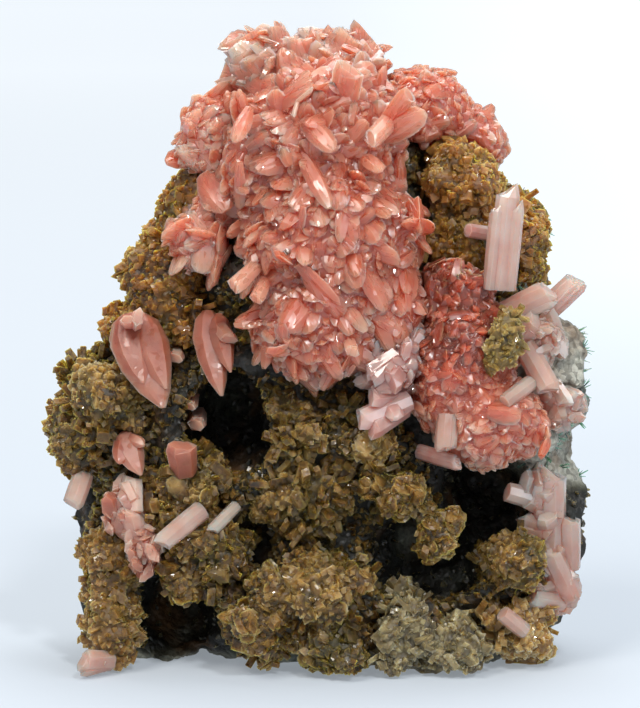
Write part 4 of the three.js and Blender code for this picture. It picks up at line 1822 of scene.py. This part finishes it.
COLUMN_SPIKES = (
    Spike((0.5, 0.6, 0.3), (0.5, 0.25, 0.98), 2.3, 2.0, Habit.PRISM, (0.2, -1.0, 0.2), 0.8),
    Spike((0.85, 0.7, 0.3), (0.82, 0.4, 0.66), 2.0, 1.8, Habit.PRISM, (0.2, -1.0, 0.2), 0.6),
    Spike((0.9, 0.6, 0.1), (0.45, 0.3, 0.44), 2.0, 1.9, Habit.PRISM, (0.0, -1.0, 0.3), 0.7),
    Spike((0.8, 0.7, 0.05), (0.1, 0.2, 0.12), 1.8, 1.6, Habit.PRISM, (0.0, -1.0, 0.3), 0.9),
)
BLOCK_SPIKES = (
    Spike((0.7, 0.8, 0.6), (0.1, 0.1, 0.9), 2.0, 1.7, Habit.TABLET, (0.2, -1.0, 0.3), 1.2),
    Spike((0.6, 0.8, 0.4), (0.35, 0.0, 0.05), 1.9, 1.6, Habit.TABLET, (0.0, -1.0, 0.2), 1.1),
)


def crusts(olive: bpy.types.Material, amber: bpy.types.Material, honey: bpy.types.Material,
           golden: bpy.types.Material, grey: bpy.types.Material) -> list[Growth]:
    """List the siderite crusts.

    Args:
        olive: the finish of most of them.
        amber: the finish of the warm ones on the flanks.
        honey: the finish of the thin ones, painted paler as painted light.
        golden: the finish of the nugget.
        grey: the finish of the pale druse at the foot and behind.

    Returns:
        The crusts, ready to build.
    """
    druse, rosettes = (LUMPS, GRAINS), (LUMPS, ROSETTE, GRAINS)
    habits = {
        "left_flank_crust": (amber, "olive_crust", druse),
        "left_shoulder_crust": (olive, "olive_crust", druse),
        "left_middle_crust": (olive, "olive_crust", rosettes),
        "left_foot_crust": (honey, "honey_crust", druse),
        "centre_crust": (olive, "olive_crust", druse),
        "lower_centre_crust": (olive, "olive_crust", rosettes),
        "grey_foot_crust": (grey, "grey_crust", druse),
        "diagonal_ridge": (olive, "olive_crust", (LUMPS, SCALES, GRAINS)),
        "pocket_ball": (olive, "olive_crust", (LUMPS, STARS, GRAINS)),
        "right_foot_crust": (honey, "honey_crust", rosettes),
        "top_right_crust": (amber, "olive_crust", druse),
        "right_flank_crust": (amber, "olive_crust", druse),
        "nugget": (golden, "honey_crust", (STARS, GRAINS)),
        "back_left_crust": (olive, "olive_crust", druse),
        "back_right_crust": (grey, "grey_crust", druse),
    }
    # painted light and shade: the paler patches are painted light, the deeper ones painted shade
    painted_light = {
        "left_shoulder_crust": (PaintedLight((0.4, 0.2, 1.0), 4.0, 2.0),),
        "left_middle_crust": (PaintedLight((0.3, 0.1, 0.8), 3.0, 1.6), PaintedLight((0.9, 0.5, 0.2), 4.0, -1.5)),
        "centre_crust": (PaintedLight((0.8, 0.3, 0.9), 4.0, -1.5), PaintedLight((0.3, 0.1, 0.5), 4.0, 0.8)),
        "lower_centre_crust": (PaintedLight((0.5, 0.1, 0.7), 4.0, 1.0), PaintedLight((0.9, 0.3, 0.3), 3.5, -1.2)),
        "diagonal_ridge": (PaintedLight((0.05, 0.3, 1.0), 3.5, 2.6),),
        "right_foot_crust": (PaintedLight((0.6, 0.2, 0.2), 3.5, 1.6),),
        "left_flank_crust": (PaintedLight((0.7, 0.2, 0.4), 5.0, -0.6),),
        "left_foot_crust": (PaintedLight((0.5, 0.2, 0.5), 7.0, -1.0),),
    }
    return [
        Growth(
            node, slot, finish, THIN_DRUSE_CORE if node.startswith("back") else DRUSE_CORE, beds, seed,
            painted_light=painted_light.get(node, ()), crease=0.6,
        )
        for seed, (node, (finish, slot, beds)) in enumerate(habits.items(), 100)
    ]


def sprays(coral: bpy.types.Material, dusky: bpy.types.Material, pale: bpy.types.Material,
           lilac: bpy.types.Material) -> list[Growth]:
    """List the sprays of bladed crystals.

    Args:
        coral: the finish of most of them.
        dusky: the finish of the chain on the left.
        pale: the finish of the cluster on the rim.
        lilac: the finish of the group on the bridge.

    Returns:
        The sprays, ready to build.
    """
    small = (TABLETS, FINE_BLADES)
    hubs = {"crown_spray": (0.5, 0.55, 0.72), "right_spray": (0.2, 0.7, 0.75), "crest_tuft": (0.5, 0.5, 0.0)}
    habits = {
        "crown_spray": (coral, "coral_crystal", (GREAT, BLADES, FINE_BLADES, PAINTED_GLINTS)),
        "crest_tuft": (coral, "coral_crystal", (PLATES, FINE_BLADES)),
        "back_crest_spray": (coral, "coral_crystal", (LOW_BLADES, FINE_BLADES)),
        "shoulder_fan": (coral, "coral_crystal", (SLABS, GREAT, FINE_BLADES)),
        "cheek_fan": (coral, "coral_crystal", (PETALS, FINE_BLADES)),
        "right_spray": (coral, "coral_crystal", (LOW_BLADES, FINE_BLADES, PAINTED_GLINTS)),
        "bridge_spray": (lilac, "lilac_crystal", small),
        "left_chain": (dusky, "coral_crystal", small),
        "rim_cluster": (pale, "pale_crystal", small),
        "rim_column": (pale, "pale_crystal", small),
        "block_prism": (pale, "pale_crystal", small),
        "heel_crystal": (pale, "pale_crystal", small),
        "back_spray": (coral, "coral_crystal", small),
    }
    spikes = {"crown_spray": CROWN_SPIKES, "rim_column": COLUMN_SPIKES, "block_prism": BLOCK_SPIKES}
    # painted light and shade: the upper right spray is painted deeper as the crown's shadow on it, the crown
    # deeper where it meets the right spray, and the paler patches are painted light
    painted_light = {
        "crown_spray": (PaintedLight((1.0, 0.5, 0.2), 7.0, -0.6), PaintedLight((0.5, 0.2, 1.0), 8.0, 0.2)),
        "crest_tuft": (PaintedLight((0.2, 0.5, 0.6), 11.0, 0.6),),
        "left_chain": (PaintedLight((0.5, 0.3, 0.6), 6.0, 0.7),),
        "right_spray": (PaintedLight((0.15, 0.4, 0.85), 9.0, -2.4), PaintedLight((0.4, 0.1, 0.0), 5.5, 0.5)),
        "shoulder_fan": (PaintedLight((0.4, 0.1, 0.5), 5.0, 0.5),),
        "cheek_fan": (PaintedLight((0.4, 0.1, 0.5), 6.0, 0.6),),
    }
    return [
        Growth(
            node, slot, finish, SPRAY_CORE, beds, seed, hubs.get(node, (0.5, 0.9, 0.5)), spikes.get(node, ()),
            painted_light.get(node, ()),
        )
        for seed, (node, (finish, slot, beds)) in enumerate(habits.items(), 200)
    ]


def fans(dusky: bpy.types.Material, lilac: bpy.types.Material) -> list[Fan]:
    """List the fans of a few broad crystals.

    Args:
        dusky: the finish of the petals.
        lilac: the finish of the group below the crown.

    Returns:
        The fans, ready to build.
    """
    return [
        Fan("broad_fan", "coral_crystal", dusky, (
            Spike((0.4, 0.95, 1.0), (0.7, 0.14, 0.0), 4.6, 1.5, Habit.SHIELD, (-0.15, 1.0, -0.35)),
            Spike((0.62, 0.9, 0.92), (0.84, 0.2, 0.22), 3.0, 1.3, Habit.SHIELD, (-0.34, 1.0, -0.2), 0.6),
            Spike((0.26, 0.95, 0.98), (0.42, 0.24, 0.26), 3.2, 1.3, Habit.SHIELD, (0.1, 1.0, -0.3), 0.4),
            Spike((0.42, 0.95, 0.84), (0.5, 0.2, 1.03), 1.5, 1.0, Habit.TABLET, (0.0, -1.0, 0.4), 1.4),
            Spike((0.3, 0.95, 0.84), (0.3, 0.3, 0.98), 1.2, 0.9, Habit.TABLET, (0.0, -1.0, 0.4), 1.1),
        )),
        Fan("slim_fan", "coral_crystal", dusky, (
            Spike((0.32, 0.95, 1.02), (0.5, 0.15, 0.0), 2.7, 1.3, Habit.SHIELD, (-0.2, 1.0, -0.3)),
            Spike((0.6, 0.9, 0.98), (0.78, 0.2, 0.3), 2.0, 1.2, Habit.SHIELD, (-0.3, 1.0, -0.3), 0.3),
            Spike((0.5, 0.9, 0.9), (0.9, 0.35, 0.7), 1.4, 1.0, Habit.TABLET, (0.4, -1.0, 0.2), 0.9),
            Spike((-0.5, 2.0, 0.48), (-0.48, 0.8, 0.42), 1.3, 1.0, Habit.TABLET, (0.1, 0.0, 1.0), 1.2),
            Spike((-0.1, 2.0, -0.16), (-0.14, 0.8, -0.2), 1.2, 0.8, Habit.TABLET, (0.1, 0.0, 1.0), 1.2),
            Spike((0.05, 2.0, -0.4), (0.03, 0.8, -0.44), 1.5, 1.2, Habit.TABLET, (0.1, 0.0, 1.0), 1.2),
        )),
        Fan("low_fan", "coral_crystal", dusky, (
            Spike((0.36, 0.95, 1.0), (0.66, 0.1, 0.0), 2.4, 1.3, Habit.SHIELD, (-0.1, 1.0, -0.1), 0.9),
            Spike((0.4, 0.9, 0.95), (0.25, 0.25, 0.3), 1.6, 1.0, Habit.PETAL),
            Spike((0.4, 0.9, 0.9), (0.95, 0.35, 0.75), 1.1, 0.9, Habit.PETAL, (0.3, -1.0, 0.3), 0.8),
        )),
        Fan("stub_blade", "coral_crystal", dusky, (
            Spike((0.55, 0.9, 0.0), (0.45, 0.2, 0.98), 2.4, 1.6, Habit.TABLET),
        )),
        Fan("lilac_blade", "lilac_crystal", lilac, (
            Spike((0.95, 0.8, 0.7), (0.1, 0.15, 0.3), 1.9, 1.4, Habit.PRISM, (0.0, -1.0, 0.5), 0.9),
            Spike((0.9, 0.8, 0.5), (0.3, 0.1, 0.1), 1.7, 1.3, Habit.TABLET, (0.3, -1.0, 0.2), 0.4),
            Spike((0.8, 0.9, 0.8), (0.3, 0.3, 0.8), 1.8, 1.3, Habit.TABLET, (-0.2, -1.0, 0.6), 0.6),
            Spike((0.6, 0.7, 0.6), (0.75, 0.1, 0.35), 1.7, 1.3, Habit.LEAF, (0.3, -1.0, 0.3), 0.7),
        )),
    ]


def prisms(pale: bpy.types.Material, lilac: bpy.types.Material) -> list[Prism]:
    """List the single prisms.

    Args:
        pale: the finish of most of them.
        lilac: the finish of the mauve ones.

    Returns:
        The prisms, ready to build.
    """
    pale_nodes = {
        "tall_prism": 5, "reclining_prism": 3, "flank_prism": 2, "glassy_prism": 1,
        "leaning_prism": 1, "perched_prism": 2, "slim_prism": 1, "pocket_prism": 1, "foot_prism": 1,
        "hanging_crystal": 2, "elbow_crystal": 1,
    }
    lilac_nodes = {"ledge_crystal": 2, "upper_twig": 1}
    return [
        Prism(node, "pale_crystal", pale, seed, strands)
        for seed, (node, strands) in enumerate(pale_nodes.items(), 300)
    ] + [
        Prism(node, "lilac_crystal", lilac, seed, strands)
        for seed, (node, strands) in enumerate(lilac_nodes.items(), 400)
    ]


def corners(box: tuple[Vector, Vector]) -> list[list[float]]:
    """A box's two corners as plain lists."""
    return [list(map(float, corner)) for corner in box]


def report(piece: bpy.types.Object) -> None:
    """Say that a piece is finished."""
    log.info("%s: %d faces", piece.name, len(piece.data.polygons))


def main() -> None:
    """Build the studio and every piece."""
    logging.basicConfig(level=logging.INFO, format="%(name)s: %(message)s")
    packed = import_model()
    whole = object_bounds()
    frame = Frame(packed["nodes"], whole)
    Studio().build(*map(Vector, whole))
    stocks = {habit: habit.modelled() for habit in Habit}
    coral, dusky, pale, lilac = (finish.made() for finish in (CORAL, DUSKY, PALE, LILAC))
    druses = [finish.made() for finish in (OLIVE, AMBER, HONEY, GOLDEN, GREY)]
    for piece in HostRock().build(frame, stocks):
        report(piece)
    growths = [*crusts(*druses), *sprays(coral, dusky, pale, lilac)]
    for part in [*growths, *fans(dusky, lilac), *prisms(pale, lilac)]:
        report(part.build(frame, stocks))
    sizes = {"frame": corners(whole), "visual": corners(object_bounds())}


if __name__ == "__main__":
    main()
